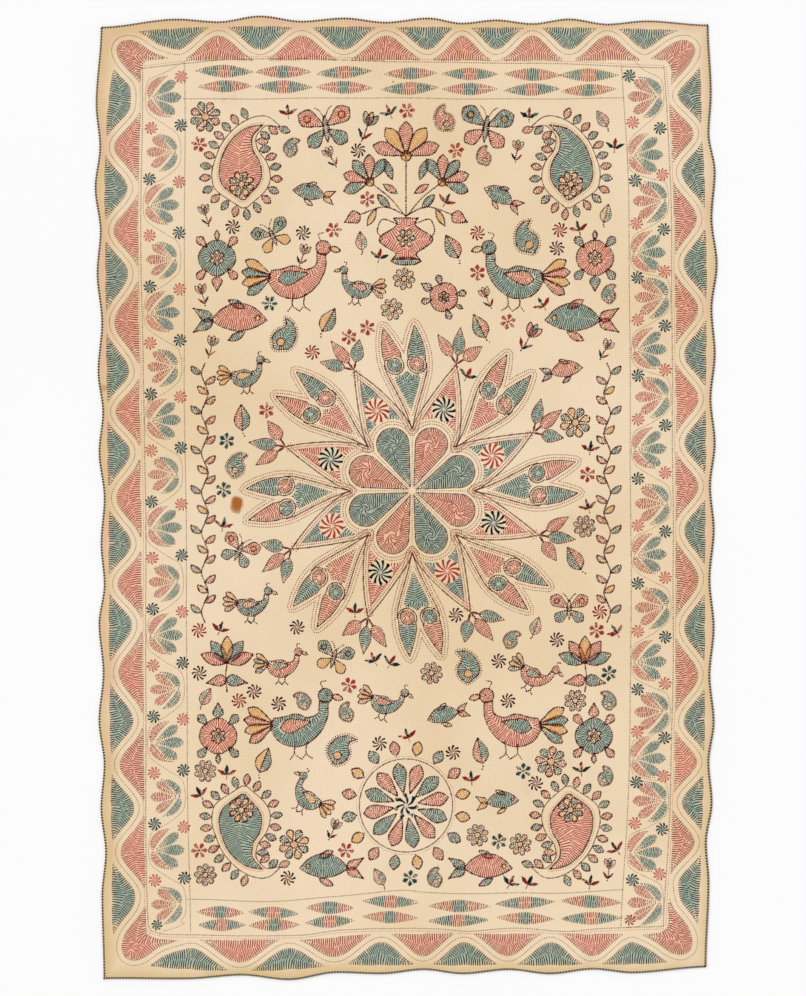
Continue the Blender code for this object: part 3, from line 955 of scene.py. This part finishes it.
def sew_turtle(pen, main, second):
    pen.fill(main, sweep([-26 + 0j, 26 + 0j], [6, 21, 27, 27, 21, 6]), clear=[(pen.put(0j), 12.5)])
    sew_rosette(pen, 11.5, 6, (second, OCHRE))
    pen.blades((second, "heart", 28 + 0j, 50 + 0j, 15), (second, "leaf", -27 + 0j, -41 + 0j, 7))
    for turn in (42, 138, 222, 318):
        spot = polar(1.0, turn)
        start = 22 * spot.real + 24j * spot.imag
        pen.blade(second, "petal", start, start + polar(20, turn), 12)


def sew_climber(pen):
    """A wavy stem with leaves to either side in turn."""
    stem = 6.0 * np.sin(np.arange(27) * pi / 2) + 1j * np.linspace(-225, 240, 27)
    pen.stem(*stem)
    for number, start in enumerate(stem[1:-1], 1):
        side = 1 if number % 2 else -1
        thread = (RED, BLUE, RED, OCHRE)[number % 4]
        pen.blade(thread, "leaf", start, start + side * 19 + 13j, 10.5, -side * 2.0)


def sew_lotus_bud(pen, first, second):
    """A half-open flower on a stem with two round leaves."""
    pen.stem(-40j, 2 - 20j, 0j)
    pen.fan((second, first, first, second, OCHRE), "leaf", (20, 55, 125, 160, 90), 2, 40, 17)
    pen.blades((first, "heart", 1 - 22j, -30 - 28j, 16), (second, "heart", 1 - 22j, 30 - 28j, 16))


def sew_paisley(pen, first, second):
    """A small paisley with an eye, and a fringe of dashes."""
    body = sweep([-3 - 26j, -2 - 14j, 1 - 1j, 1 + 11j, -5 + 22j, -17 + 27j], [3, 16, 18, 12.5, 6, 0.5])
    pen.fill(first, body, clear=[(pen.put(-1 - 11j), 8.5 * abs(pen.way))])
    pen.disc(second, -1 - 11j, 7.0)
    fringe = pen.put(resample(echo(body, 3.6), 4.2, closed=True))
    sew(pen.zone, BROWN, fringe, -1j * headings(fringe), 3.4, 1.6, 0.25)


def sew_wide_leaf(pen, *threads):
    """A leaf on a short stem, its halves in two colours."""
    for sign, thread in zip((1, -1), threads):
        half = beside(sign, -22j, 12 - 12j, 15 + 2j, 9 + 16j, 30j)
        pen.fill(thread, np.concatenate([spline(half), [6j, -8j]]))
    pen.stem(-22j, -27j, 3 - 33j)


def sew_tulip(pen, first, second):
    """A cup of three petals on a stem, with two leaves."""
    pen.stem(-34j, 1 - 20j, -2j)
    pen.fan((first, first, second), "leaf", (118, 62, 90), 1, 32, 14)
    for turn, thread in ((128, first), (52, second)):
        pen.satin(thread, "leaf", -30j, -30j + polar(26.0, turn), 9.0)


def sew_flower(pen, *threads):
    sew_rosette(pen, 26.0, 8, threads)


def sew_small_flower(pen, main, _):
    for turn in range(0, 360, 60):
        pen.satin(main, "petal", polar(3.0, turn), polar(16.0, turn), 11.0, tone=0.5)
    pen.satin(BROWN, "bean", -2.6 + 0j, 2.6 + 0j, 5.0)


def sew_wheel(pen, main, _):
    pen.pinwheel(main, 0j, 12.0, 9, tone=0.1)


def sew_trefoil(pen, *threads):
    for number, turn in enumerate((-60, 0, 60)):
        pen.satin(threads[number % 2], "leaf", -8j, -8j + polar(21, 90 + turn), 9.0)
    pen.line(BROWN, [-7j, -15j], **FINE)


KINDS = (  # clear radius, and the motifs that fill it with the radius that each has by itself
    (50.0, ((sew_goose, 62.0), (sew_turtle, 52.0), (sew_fish, 60.0))),
    (38.0, ((sew_paisley, 36.0), (sew_lotus_bud, 42.0), (sew_butterfly, 46.0))),
    (29.0, ((sew_flower, 27.0), (sew_tulip, 34.0), (sew_wide_leaf, 32.0), (sew_paisley, 36.0))),
    (21.0, ((sew_flower, 27.0), (sew_wide_leaf, 32.0), (sew_paisley, 36.0), (sew_tulip, 34.0))),
    (14.0, ((sew_small_flower, 15.5), (sew_wheel, 12.5), (sew_trefoil, 15.0))),
)
PAIRS = (RED_BLUE, BLUE_RED, (DARK, RED), (RED, DARK), (BLUE, OCHRE))
SPARE = 3.0  # room left round each of them
FIELD_STEP = 5.5  # between the places that are tried
FIELD_MOTIFS = (  # of a half: place, size, turn, whether flipped, and which of its pairs of threads
    (sew_kalka, 296 + 596j, 1.22, 0, False, 0), (sew_kalka, 296 - 596j, 1.22, 180, True, 1),
    (sew_goose, 200 + 402j, 1.5, 0, True, 0), (sew_goose, 196 - 404j, 1.5, 0, True, 1),
    (sew_butterfly, 144 + 664j, 1.15, -8, False, 0), (sew_fish, 146 - 668j, 1.25, 0, False, 1),
    (sew_fish, 302 + 318j, 1.45, 0, True, 0), (sew_turtle, 338 - 430j, 1.2, 90, False, 0),
    (sew_turtle, 340 + 430j, 1.2, -90, False, 1), (sew_lotus_bud, 322 - 300j, 1.25, 0, False, 1),
)


def distance_to(laid, places):
    """How far each place is from the nearest stitch that is laid."""
    tree = KDTree(len(laid))
    for number, spot in enumerate(laid):
        tree.insert((spot.real, spot.imag, 0.0), number)
    tree.balance()
    return [tree.find((spot.real, spot.imag, 0.0))[2] for spot in places]


def sew_fillers():
    """Small motifs wherever the field is still bare, the largest first."""
    left, right, low, high = (FIELD_FRAME[side] for side in ("left", "right", "bottom", "top"))
    laid = [block[:, 0] for (zone, _), blocks in sewn.items() if zone != "border" for block in blocks]
    laid = np.concatenate(laid + [ring(stain.place, stain.radius) for stain in STAINS])
    columns, rows = np.arange(-left, right, FIELD_STEP), np.arange(-low, high, FIELD_STEP)
    across, along = np.meshgrid(columns, rows, indexing="ij")
    places = (across + 1j * along).ravel()
    room = np.minimum.reduce([places.real + left, right - places.real, places.imag + low, high - places.imag])
    room = np.minimum(room, distance_to(laid, places))
    for radius, motifs in KINDS:
        for index in rng.permutation(np.flatnonzero(room > radius + SPARE)):
            if room[index] < radius + SPARE:
                continue
            motif, own = motifs[rng.integers(len(motifs))]
            threads = PAIRS[rng.integers(len(PAIRS) if radius > 15 else 2)]
            turn = rng.uniform(-35.0, 35.0)
            motif(Pen("field", places[index], turn, radius / own, flip=rng.random() < 0.5), *threads)
            room = np.minimum(room, np.abs(places - places[index]) - radius)


def sew_field():
    field = Pen("field")
    sew_vase(field.moved(at=560j, size=1.12))
    sew_medallion(field.moved(at=-555j, turn=11.25, size=1.2))
    for flipped, pairs in ((False, (BLUE_RED, RED_BLUE)), (True, (RED_BLUE, BLUE_RED))):
        half = Pen("field", flip=flipped)
        for motif, place, size, turn, flip, pair in FIELD_MOTIFS:
            motif(half.moved(place, turn, size, flip), *pairs[pair])
        sew_climber(half.moved(at=362 + 0j))
    sew_fillers()


# The cloth


def grid_shares(count, size):
    """Even shares of a length, from where the rim's rounding starts."""
    start = ROUND / size
    return np.linspace(start, 1.0 - start, count + 1)


def rubbed(values, times):
    """Softens a grid of values."""
    for _ in range(times):
        padded = np.pad(values, 1, mode="edge")
        values = 0.25 * (padded[:-2, 1:-1] + padded[2:, 1:-1] + padded[1:-1, :-2] + padded[1:-1, 2:])
    return values


def cover_of(spots, area, spread=2):
    """How thickly stitches of that area cover the cloth, on a grid of bins."""
    bins = [int(2 * reach / BIN) for reach in GRID_REACH]
    limits = [[-reach, reach] for reach in GRID_REACH]
    cover = np.histogram2d(spots.real, spots.imag, bins, limits, weights=area)[0]
    return rubbed(cover / BIN**2, spread)


def stitch_cover(threads, spread=2):
    rows = [block for (_, thread), blocks in sewn.items() if thread in threads for block in blocks]
    rows = np.concatenate(rows)
    return cover_of(rows[:, 0], rows[:, 2].real * rows[:, 3].real, spread)


def dye_cover(thread):
    spots = np.concatenate(dyed[thread])
    return cover_of(spots, np.full(len(spots), ROW * 2.6))


def read_cover(cover, spots):
    """The cover at each place, between the bins' middles."""
    x = np.clip((spots.real + GRID_REACH[0]) / BIN - 0.5, 0, cover.shape[0] - 1.001)
    y = np.clip((spots.imag + GRID_REACH[1]) / BIN - 0.5, 0, cover.shape[1] - 1.001)
    i, j = x.astype(int), y.astype(int)
    fx, fy = x - i, y - j
    low = cover[i, j] * (1 - fx) + cover[i + 1, j] * fx
    high = cover[i, j + 1] * (1 - fx) + cover[i + 1, j + 1] * fx
    return low * (1 - fy) + high * fy


def drop_on(tree, spots):
    """The height of a surface under each place, by rays cast down on it."""
    down = Vector((0.0, 0.0, -1.0))
    heights = np.full(len(spots), MEAN_HEIGHT)
    for number, spot in enumerate(spots):
        start = Vector((spot.real * MM, spot.imag * MM, RAY_HEIGHT))
        hit = tree.ray_cast(start, down, 2 * RAY_HEIGHT)[0]
        if hit is not None:
            heights[number] = hit.z / MM
    return heights


def tree_of(piece):
    mesh = piece.data
    return BVHTree.FromPolygons([v.co for v in mesh.vertices], [p.vertices for p in mesh.polygons])


def pucker(spots):
    """Small uneven puffs between the rows of quilting."""
    x, y = spots.real, spots.imag
    return (np.sin(x / 2.6 + 1.7 * np.sin(y / 19.0)) * np.sin(y / 3.1 + 1.3 * np.sin(x / 23.0))
            + 0.8 * np.sin(x / 7.9 + y / 11.3) * np.sin(y / 6.7 - x / 29.0))


def stacked(spots, height):
    """Places and heights as rows of three numbers."""
    return np.stack([spots.real, spots.imag, height], -1)


def make_cloth():
    """A fine closed mesh on the solid's own heights, with the relief of its stitches."""
    columns, rows = CELLS[0] + 1, CELLS[1] + 1
    u, v = np.meshgrid(grid_shares(CELLS[0], WIDTH), grid_shares(CELLS[1], LENGTH), indexing="ij")
    u, v = u.ravel(), v.ravel()
    depth = np.minimum(np.minimum(u, 1 - u) * WIDTH, np.minimum(v, 1 - v) * LENGTH)
    spots = cloth_point(u, v)
    solid = drop_on(tree_of(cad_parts[CLOTH]), spots + SHIFT)
    height = rubbed(solid.reshape(columns, rows), 4).ravel()
    fills = stitch_cover((RED, BLUE, OCHRE, DARK), spread=6)
    height += RELIEF["fill"] * np.minimum(read_cover(fills, spots), MOST_COVER)
    lines = stitch_cover((BROWN, OLIVE, PINK, PALE))
    height -= RELIEF["line"] * np.minimum(read_cover(lines, spots), MOST_COVER)
    height += RELIEF["pucker"] * pucker(spots) * smooth(depth / PUCKER_START)
    index = np.arange(columns * rows).reshape(columns, rows)
    loop = np.concatenate([index[:-1, 0], index[-1, :-1], index[:0:-1, -1], index[0, :0:-1]])
    points = [stacked(spots, height)]
    for inset, share in RIM:
        wide, long = ((0.5 - inset / size) / (0.5 - ROUND / size) for size in (WIDTH, LENGTH))
        edge = cloth_point(0.5 + (u[loop] - 0.5) * wide, 0.5 + (v[loop] - 0.5) * long)
        points.append(stacked(edge, height[loop] * share))
    points = np.concatenate(points)
    quads = [np.stack([index[:-1, :-1], index[1:, :-1], index[1:, 1:], index[:-1, 1:]], -1).reshape(-1, 4)]
    above = loop
    for level in range(len(RIM)):
        below = columns * rows + level * len(loop) + np.arange(len(loop))
        quads.append(np.stack([above, below, np.roll(below, -1), np.roll(above, -1)], 1))
        above = below
    worn = WORN[0] * u + WORN[1] * (1.0 - v) - WORN[0]
    values = {"depth": np.concatenate([depth + worn] + [worn[loop]] * len(RIM))}
    for name in TINTS:
        values[name] = read_cover(dye_cover(f"{name}_thread"), points[:, 0] + 1j * points[:, 1])
    moved = stacked(points[:, 0] + 1j * points[:, 1] + SHIFT, points[:, 2])
    cloth = new_piece("kantha_cloth", moved, np.concatenate(quads), [above[::-1]], values)
    map_cloth(cloth, points, len(quads[0]))
    return cloth


def add_object(name, data, place=(0.0, 0.0, 0.0)):
    thing = bpy.data.objects.new(name, data)
    thing.location = place
    bpy.context.scene.collection.objects.link(thing)
    return thing


def new_piece(name, points, quads, others, values):
    """An object from its points and faces, all of it shaded smooth, with values for its points."""
    mesh = bpy.data.meshes.new(name)
    sizes = np.array([4] * len(quads) + [len(face) for face in others])
    loops = np.concatenate([np.ravel(quads), np.ravel(others)])
    mesh.vertices.add(len(points))
    mesh.vertices.foreach_set("co", (points * MM).astype(np.float32).ravel())
    mesh.loops.add(len(loops))
    mesh.loops.foreach_set("vertex_index", loops.astype(np.int32))
    mesh.polygons.add(len(sizes))
    starts = np.concatenate([[0], np.cumsum(sizes)[:-1]])
    mesh.polygons.foreach_set("loop_start", starts.astype(np.int32))
    mesh.update(calc_edges=True)
    mesh.validate()
    mesh.shade_smooth()
    for key, numbers in values.items():
        layer = mesh.attributes.new(key, "FLOAT", "POINT")
        layer.data.foreach_set("value", np.asarray(numbers, np.float32))
    return add_object(name, mesh)


def corners_of(mesh):
    """The vertex at each corner of each face."""
    corner = np.zeros(len(mesh.loops), np.int32)
    mesh.loops.foreach_get("vertex_index", corner)
    return corner


def add_map(mesh, places):
    """A picture map, one place in the square for each corner of each face."""
    layer = mesh.uv_layers.new(name="OFBake")
    layer.data.foreach_set("uv", np.asarray(places, np.float32).ravel())


def map_cloth(cloth, points, top_faces):
    """The face takes three quarters of the square, and the rim and underside share the rest."""
    corner = corners_of(cloth.data)
    across = (points[corner, 0] + MAP_REACH[0]) / (2 * MAP_REACH[0])
    along = (points[corner, 1] + MAP_REACH[1]) / (2 * MAP_REACH[1])
    face = np.arange(len(corner)) < 4 * top_faces
    along = np.where(face, 0.01 + 0.73 * along, 0.76 + 0.23 * along)
    add_map(cloth.data, np.stack([0.01 + 0.98 * across, along], 1))


# From stitches to meshes


def stitch_points(rows, tree):
    """Seven points for each stitch: its six-sided foot, and its crown."""
    spots, ahead = rows[:, 0], rows[:, 1]
    length, width = rows[:, 2:4].real.T * (1.0 + STITCH["sunk"] / STITCH["height"])
    ends = [drop_on(tree, spots + SHIFT + ahead * length * side) for side in (-0.5, 0.5)]
    points = []
    for along, aside in (*FOOT, (0, 0)):
        place = spots + SHIFT + ahead * (length * along + 1j * width * aside)
        ground = ends[0] * (0.5 - along) + ends[1] * (0.5 + along)
        points.append(stacked(place, ground + (-STITCH["sunk"] if along or aside else STITCH["height"])))
    return np.stack(points, 1)


def stitch_piece(name, points, faces, values):
    """One piece from many stitches of the same make: their points, and the faces that each one has."""
    count, size = points.shape[:2]
    first = (np.arange(count) * size)[:, None]
    faces = np.concatenate([first + face for face in faces])
    points = points.reshape(-1, 3)
    quads, others = (faces, ()) if faces.shape[1] == 4 else ((), faces)
    piece = new_piece(name, points, quads, others, values)
    low, high = points.min(0)[:2], points.max(0)[:2]
    add_map(piece.data, 0.01 + 0.98 * (points[corners_of(piece.data), :2] - low) / (high - low))
    return piece


def make_stitches(name, rows, tree):
    """One piece from all the stitches of a thread in a zone."""
    faces = [[side, (side + 1) % 6, 6] for side in range(6)]
    strand = np.array([along + 0.4 * aside for along, aside in (*FOOT, (0, 0))])
    values = {"tone": np.repeat(rows[:, 4].real, 7), "strand": (rows[:, 2:3].real * strand).ravel()}
    return stitch_piece(name, stitch_points(rows, tree), faces, values)


def make_overcast(tree):
    """The close stitches that wrap the cloth's edge."""
    edge = resample(rim(0.0), OVERCAST_PITCH, closed=True)
    ahead = headings(edge)
    inward = 1j * ahead
    top = drop_on(tree, edge + inward * 1.6 + SHIFT)
    slant = rng.normal(0.35, 0.12, len(edge))
    points = []
    for depth, fall, rise in OVERCAST_PROFILE:
        for side in OVERCAST_SIDES:
            crown = 0.0 if side else OVERCAST_CROWN
            place = edge + inward * depth + ahead * (side + slant * (1.5 - depth) * 0.25) + SHIFT
            place = place - inward * (crown if depth < 0.3 else 0.0)
            height = top + fall + rise + (crown if depth > 0.1 else 0)
            points.append(stacked(place, np.maximum(height, LEAST_HEIGHT)))
    corners = [3 * level + side for level in range(len(OVERCAST_PROFILE) - 1) for side in (0, 1)]
    faces = [[a, a + 1, a + 4, a + 3] for a in corners]
    tone = np.repeat(np.clip(rng.normal(0.12, 0.12, len(edge)), 0, 1), len(points))
    return stitch_piece("edge_overcast", np.stack(points, 1), faces, {"tone": tone})


# Materials


class Nodes:
    """A material's nodes, made and joined by name."""

    def __init__(self, name):
        self.material = bpy.data.materials.new(name)
        self.material.use_nodes = True
        self.tree = self.material.node_tree

    def feed(self, socket, value):
        """Links a socket to another, or sets its value."""
        if isinstance(value, bpy.types.NodeSocket):
            self.tree.links.new(value, socket)
        else:
            socket.default_value = value

    def add(self, kind, inputs, output=0, **settings):
        node = self.tree.nodes.new("ShaderNode" + kind)
        for key, value in settings.items():
            setattr(node, key, value)
        for key, value in inputs.items():
            self.feed(node.inputs[key], value)
        return node.outputs[output]

    def math(self, operation, a, b=0.0, clamp=False):
        return self.add("Math", {0: a, 1: b}, operation=operation, use_clamp=clamp)

    def times(self, a, b):
        return self.math("MULTIPLY", a, b)

    def plus(self, a, b, clamp=False):
        return self.math("ADD", a, b, clamp)

    def shaken(self, value, noise, reach, clamp=False):
        """A value, moved up or down by a noise."""
        return self.plus(value, self.times(self.math("SUBTRACT", noise, 0.5), reach), clamp)

    def vector(self, operation, a, b, output="Vector"):
        return self.add("VectorMath", {0: a, 1: b}, output, operation=operation)

    def attribute(self, name):
        return self.add("Attribute", {}, "Fac", attribute_name=name)

    def place(self):
        return self.add("TexCoord", {}, "Object")

    def noise(self, scale, detail=3.0, rough=0.55, output="Fac"):
        inputs = {"Scale": scale, "Detail": detail, "Roughness": rough, "Vector": self.place()}
        return self.add("TexNoise", inputs, output)

    def wave(self, scale, way, place=None, distortion=0.0):
        inputs = {"Scale": scale, "Distortion": distortion, "Vector": place or self.place()}
        return self.add("TexWave", inputs, "Fac", bands_direction=way)

    def between(self, value, low, high):
        """0 below low and 1 above high, with soft ends."""
        inputs = {"Value": value, "From Min": low, "From Max": high}
        return self.add("MapRange", inputs, interpolation_type="SMOOTHSTEP")

    def mix(self, share, a, b, blend="MIX"):
        return self.add("Mix", {0: share, 6: a, 7: b}, 2, data_type="RGBA", blend_type=blend)

    def finish(self, colour, rough, specular, **bump):
        """The finished material. bump holds the height, strength and distance of its relief, if any."""
        inputs = {"Base Color": colour, "Roughness": rough, "Specular IOR Level": specular}
        if bump:
            inputs["Normal"] = self.add("Bump", bump, "Normal")
        for key, value in inputs.items():
            self.feed(self.tree.nodes["Principled BSDF"].inputs[key], value)
        return self.material


def thread_material(name):
    """Soft cotton thread: each stitch has its own tone, with streaks along the strands."""
    fresh, faded = (linear(colour) for colour in THREADS[name])
    n = Nodes(name)
    fleck = n.noise(900.0, 2.0)
    tone = n.shaken(n.attribute("tone"), n.noise(14.0), 0.6)
    tone = n.shaken(tone, fleck, 0.3, clamp=True)
    strand = n.math("SINE", n.times(n.attribute("strand"), 7.0))
    height = n.plus(n.times(strand, 0.5), fleck)
    rough = n.plus(n.times(fleck, 0.2), 0.75)
    colour = n.mix(tone, fresh, faded)
    return n.finish(colour, rough, 0.08, Height=height, Strength=0.6, Distance=0.00015)


def cotton_material():
    """Old undyed cotton: a plain weave, ageing from the edges in, faint blotches, dye and stains, with
    painted shade in the dips between the quilted puffs.
    """
    n = Nodes("aged_quilted_cotton")
    cream, deep, ochre, tan, peach = (linear(colour) for colour in COTTON)
    small = n.noise(9.0, 5.0, 0.6)
    base = n.mix(n.between(n.noise(2.2, 4.0), 0.35, 0.7), cream, deep)
    near_edge = n.between(n.shaken(n.attribute("depth"), small, 44.0), 30.0, -6.0)
    foot = n.between(n.add("SeparateXYZ", {0: n.place()}, "Y"), -0.2, -0.8)
    patches = n.math("SUBTRACT", n.between(n.noise(16.0, 5.0), 0.4, 0.62), foot, clamp=True)
    base = n.mix(n.times(near_edge, 0.9), base, n.mix(patches, ochre, peach))
    base = n.mix(n.times(n.between(n.noise(5.0, 6.0, 0.65), 0.6, 0.78), 0.4), base, tan)
    for name, (colour, most) in TINTS.items():
        base = n.mix(n.times(n.between(n.attribute(name), 0.05, 0.6), most), base, linear(colour))
    for stain in STAINS:
        base = add_stain(n, base, stain)
    weave = n.times(n.plus(n.wave(330.0, "X", distortion=1.2), n.wave(330.0, "Y", distortion=1.2)), 0.5)
    rows = quilting(n)
    # Painted shade: the rows term darkens the colour in the dips between the quilted puffs. The weave term is
    # the cloth's own grain.
    weave_and_dip_shade = n.plus(n.plus(n.times(weave, 0.05), n.times(rows, 0.09)), 0.9)
    shade = n.add("CombineColor", {0: weave_and_dip_shade, 1: weave_and_dip_shade, 2: weave_and_dip_shade})
    height = n.plus(n.plus(n.times(weave, 0.25), n.noise(140.0, 4.0, 0.6)), n.times(rows, 1.2))
    rough = n.plus(n.times(small, 0.12), 0.84)
    colour = n.mix(1.0, base, shade, "MULTIPLY")
    return n.finish(colour, rough, 0.12, Height=height, Strength=0.35, Distance=0.0006)


def quilting(n):
    """The ground's fine rows of running stitch: 0 in a dip between two puffs and 1 on a puff."""
    drift = n.vector("MULTIPLY", n.noise(7.0, 4.0, 0.5, "Color"), (0.07, 0.07, 0.0))
    place = n.vector("ADD", n.place(), drift)
    across, along = (2.0 * pi / (20.0 * apart * MM) for apart in (ROWS_APART, PITCH))
    return n.times(n.wave(across, "X", place), n.wave(along, "Y", place))


def add_stain(n, base, stain):
    """A brown spot with a ragged edge."""
    spot, radius = (stain.place + SHIFT) * MM, stain.radius
    away = n.vector("DISTANCE", n.place(), (spot.real, spot.imag, 0.002), "Value")
    away = n.shaken(away, n.noise(60.0), 1.1 * radius * MM)
    share = n.times(n.between(away, 1.15 * radius * MM, 0.6 * radius * MM), stain.strength)
    return n.mix(share, base, linear(STAIN_BROWN))


def floor_material():
    n = Nodes("pale_floor")
    white, grey = (linear((level, level, level)) for level in (254, 252))
    return n.finish(n.mix(n.between(n.noise(1.2, 2.0), 0.0, 1.0), white, grey), 0.9, 0.0)


# Light, floor and camera

SURROUND = 0.68
SUN_POWER = 1.5
SUN_SPREAD = radians(30.0)
SUN_PLACE = (-2.6, 2.4, 3.0)
LENS = 100.0
SENSOR = 36.0
VIEW_MIDDLE = -5.4 - 1.8j
VIEW_HEIGHT = 996  # the picture's frame is 806 by 996 pixels


def make_floor():
    bpy.ops.mesh.primitive_plane_add(size=30.0, location=(0.0, 0.0, -0.0002))
    floor = bpy.context.object
    floor.name = "pale_floor"
    floor.data.materials.append(floor_material())
    return floor


def make_light():
    """A white surround, and a broad sun from the upper left."""
    world = bpy.data.worlds.new("studio")
    world.use_nodes = True
    surround = world.node_tree.nodes["Background"].inputs
    surround["Color"].default_value = (1.0, 1.0, 1.0, 1.0)
    surround["Strength"].default_value = SURROUND
    bpy.context.scene.world = world
    light = bpy.data.lights.new("soft_key", "SUN")
    light.angle = SUN_SPREAD
    light.energy = SUN_POWER
    key = add_object("soft_key", light, SUN_PLACE)
    key.rotation_euler = (-key.location).to_track_quat("-Z", "Y").to_euler()
    bpy.context.scene.view_settings.view_transform = "Standard"


def make_camera():
    """Straight above the cloth, so that it stands in the picture as in the photo."""
    camera = bpy.data.cameras.new("camera")
    camera.lens = LENS
    camera.sensor_width = SENSOR
    middle = (VIEW_MIDDLE + SHIFT) * MM
    place = (middle.real, middle.imag, VIEW_HEIGHT * PX * MM * LENS / SENSOR)
    bpy.context.scene.camera = add_object("camera", camera, place)


def middle_of(low, high):
    """The middle of a box, seen from above."""
    return 0.5 * complex(low[0] + high[0], low[1] + high[1])


drawn = rim(0.0)
drawn_middle = middle_of((drawn.real.min(), drawn.imag.min()), (drawn.real.max(), drawn.imag.max()))
low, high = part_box(CLOTH)
SHIFT = middle_of(low, high) / MM - drawn_middle  # from where the outline is drawn to where the solid is

sew_border()
sew_frames()
sew_side_band("left")
sew_side_band("right")
sew_lenses()
sew_lotus()
sew_field()

cloth = make_cloth()
cloth.data.materials.append(cotton_material())
surface = tree_of(cloth)
pieces = [make_overcast(surface)]
pieces[0].data.materials.append(thread_material("dark_thread"))
for (zone, thread), blocks in sorted(sewn.items()):
    piece = make_stitches(f"{zone}_{thread.split('_')[0]}_stitches", np.concatenate(blocks), surface)
    material = bpy.data.materials.get(thread) or thread_material(thread)
    piece.data.materials.append(material)
    pieces.append(piece)

for piece in [cloth] + pieces:
    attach(piece, "root")
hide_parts(CLOTH)
floor = make_floor()
make_light()
make_camera()
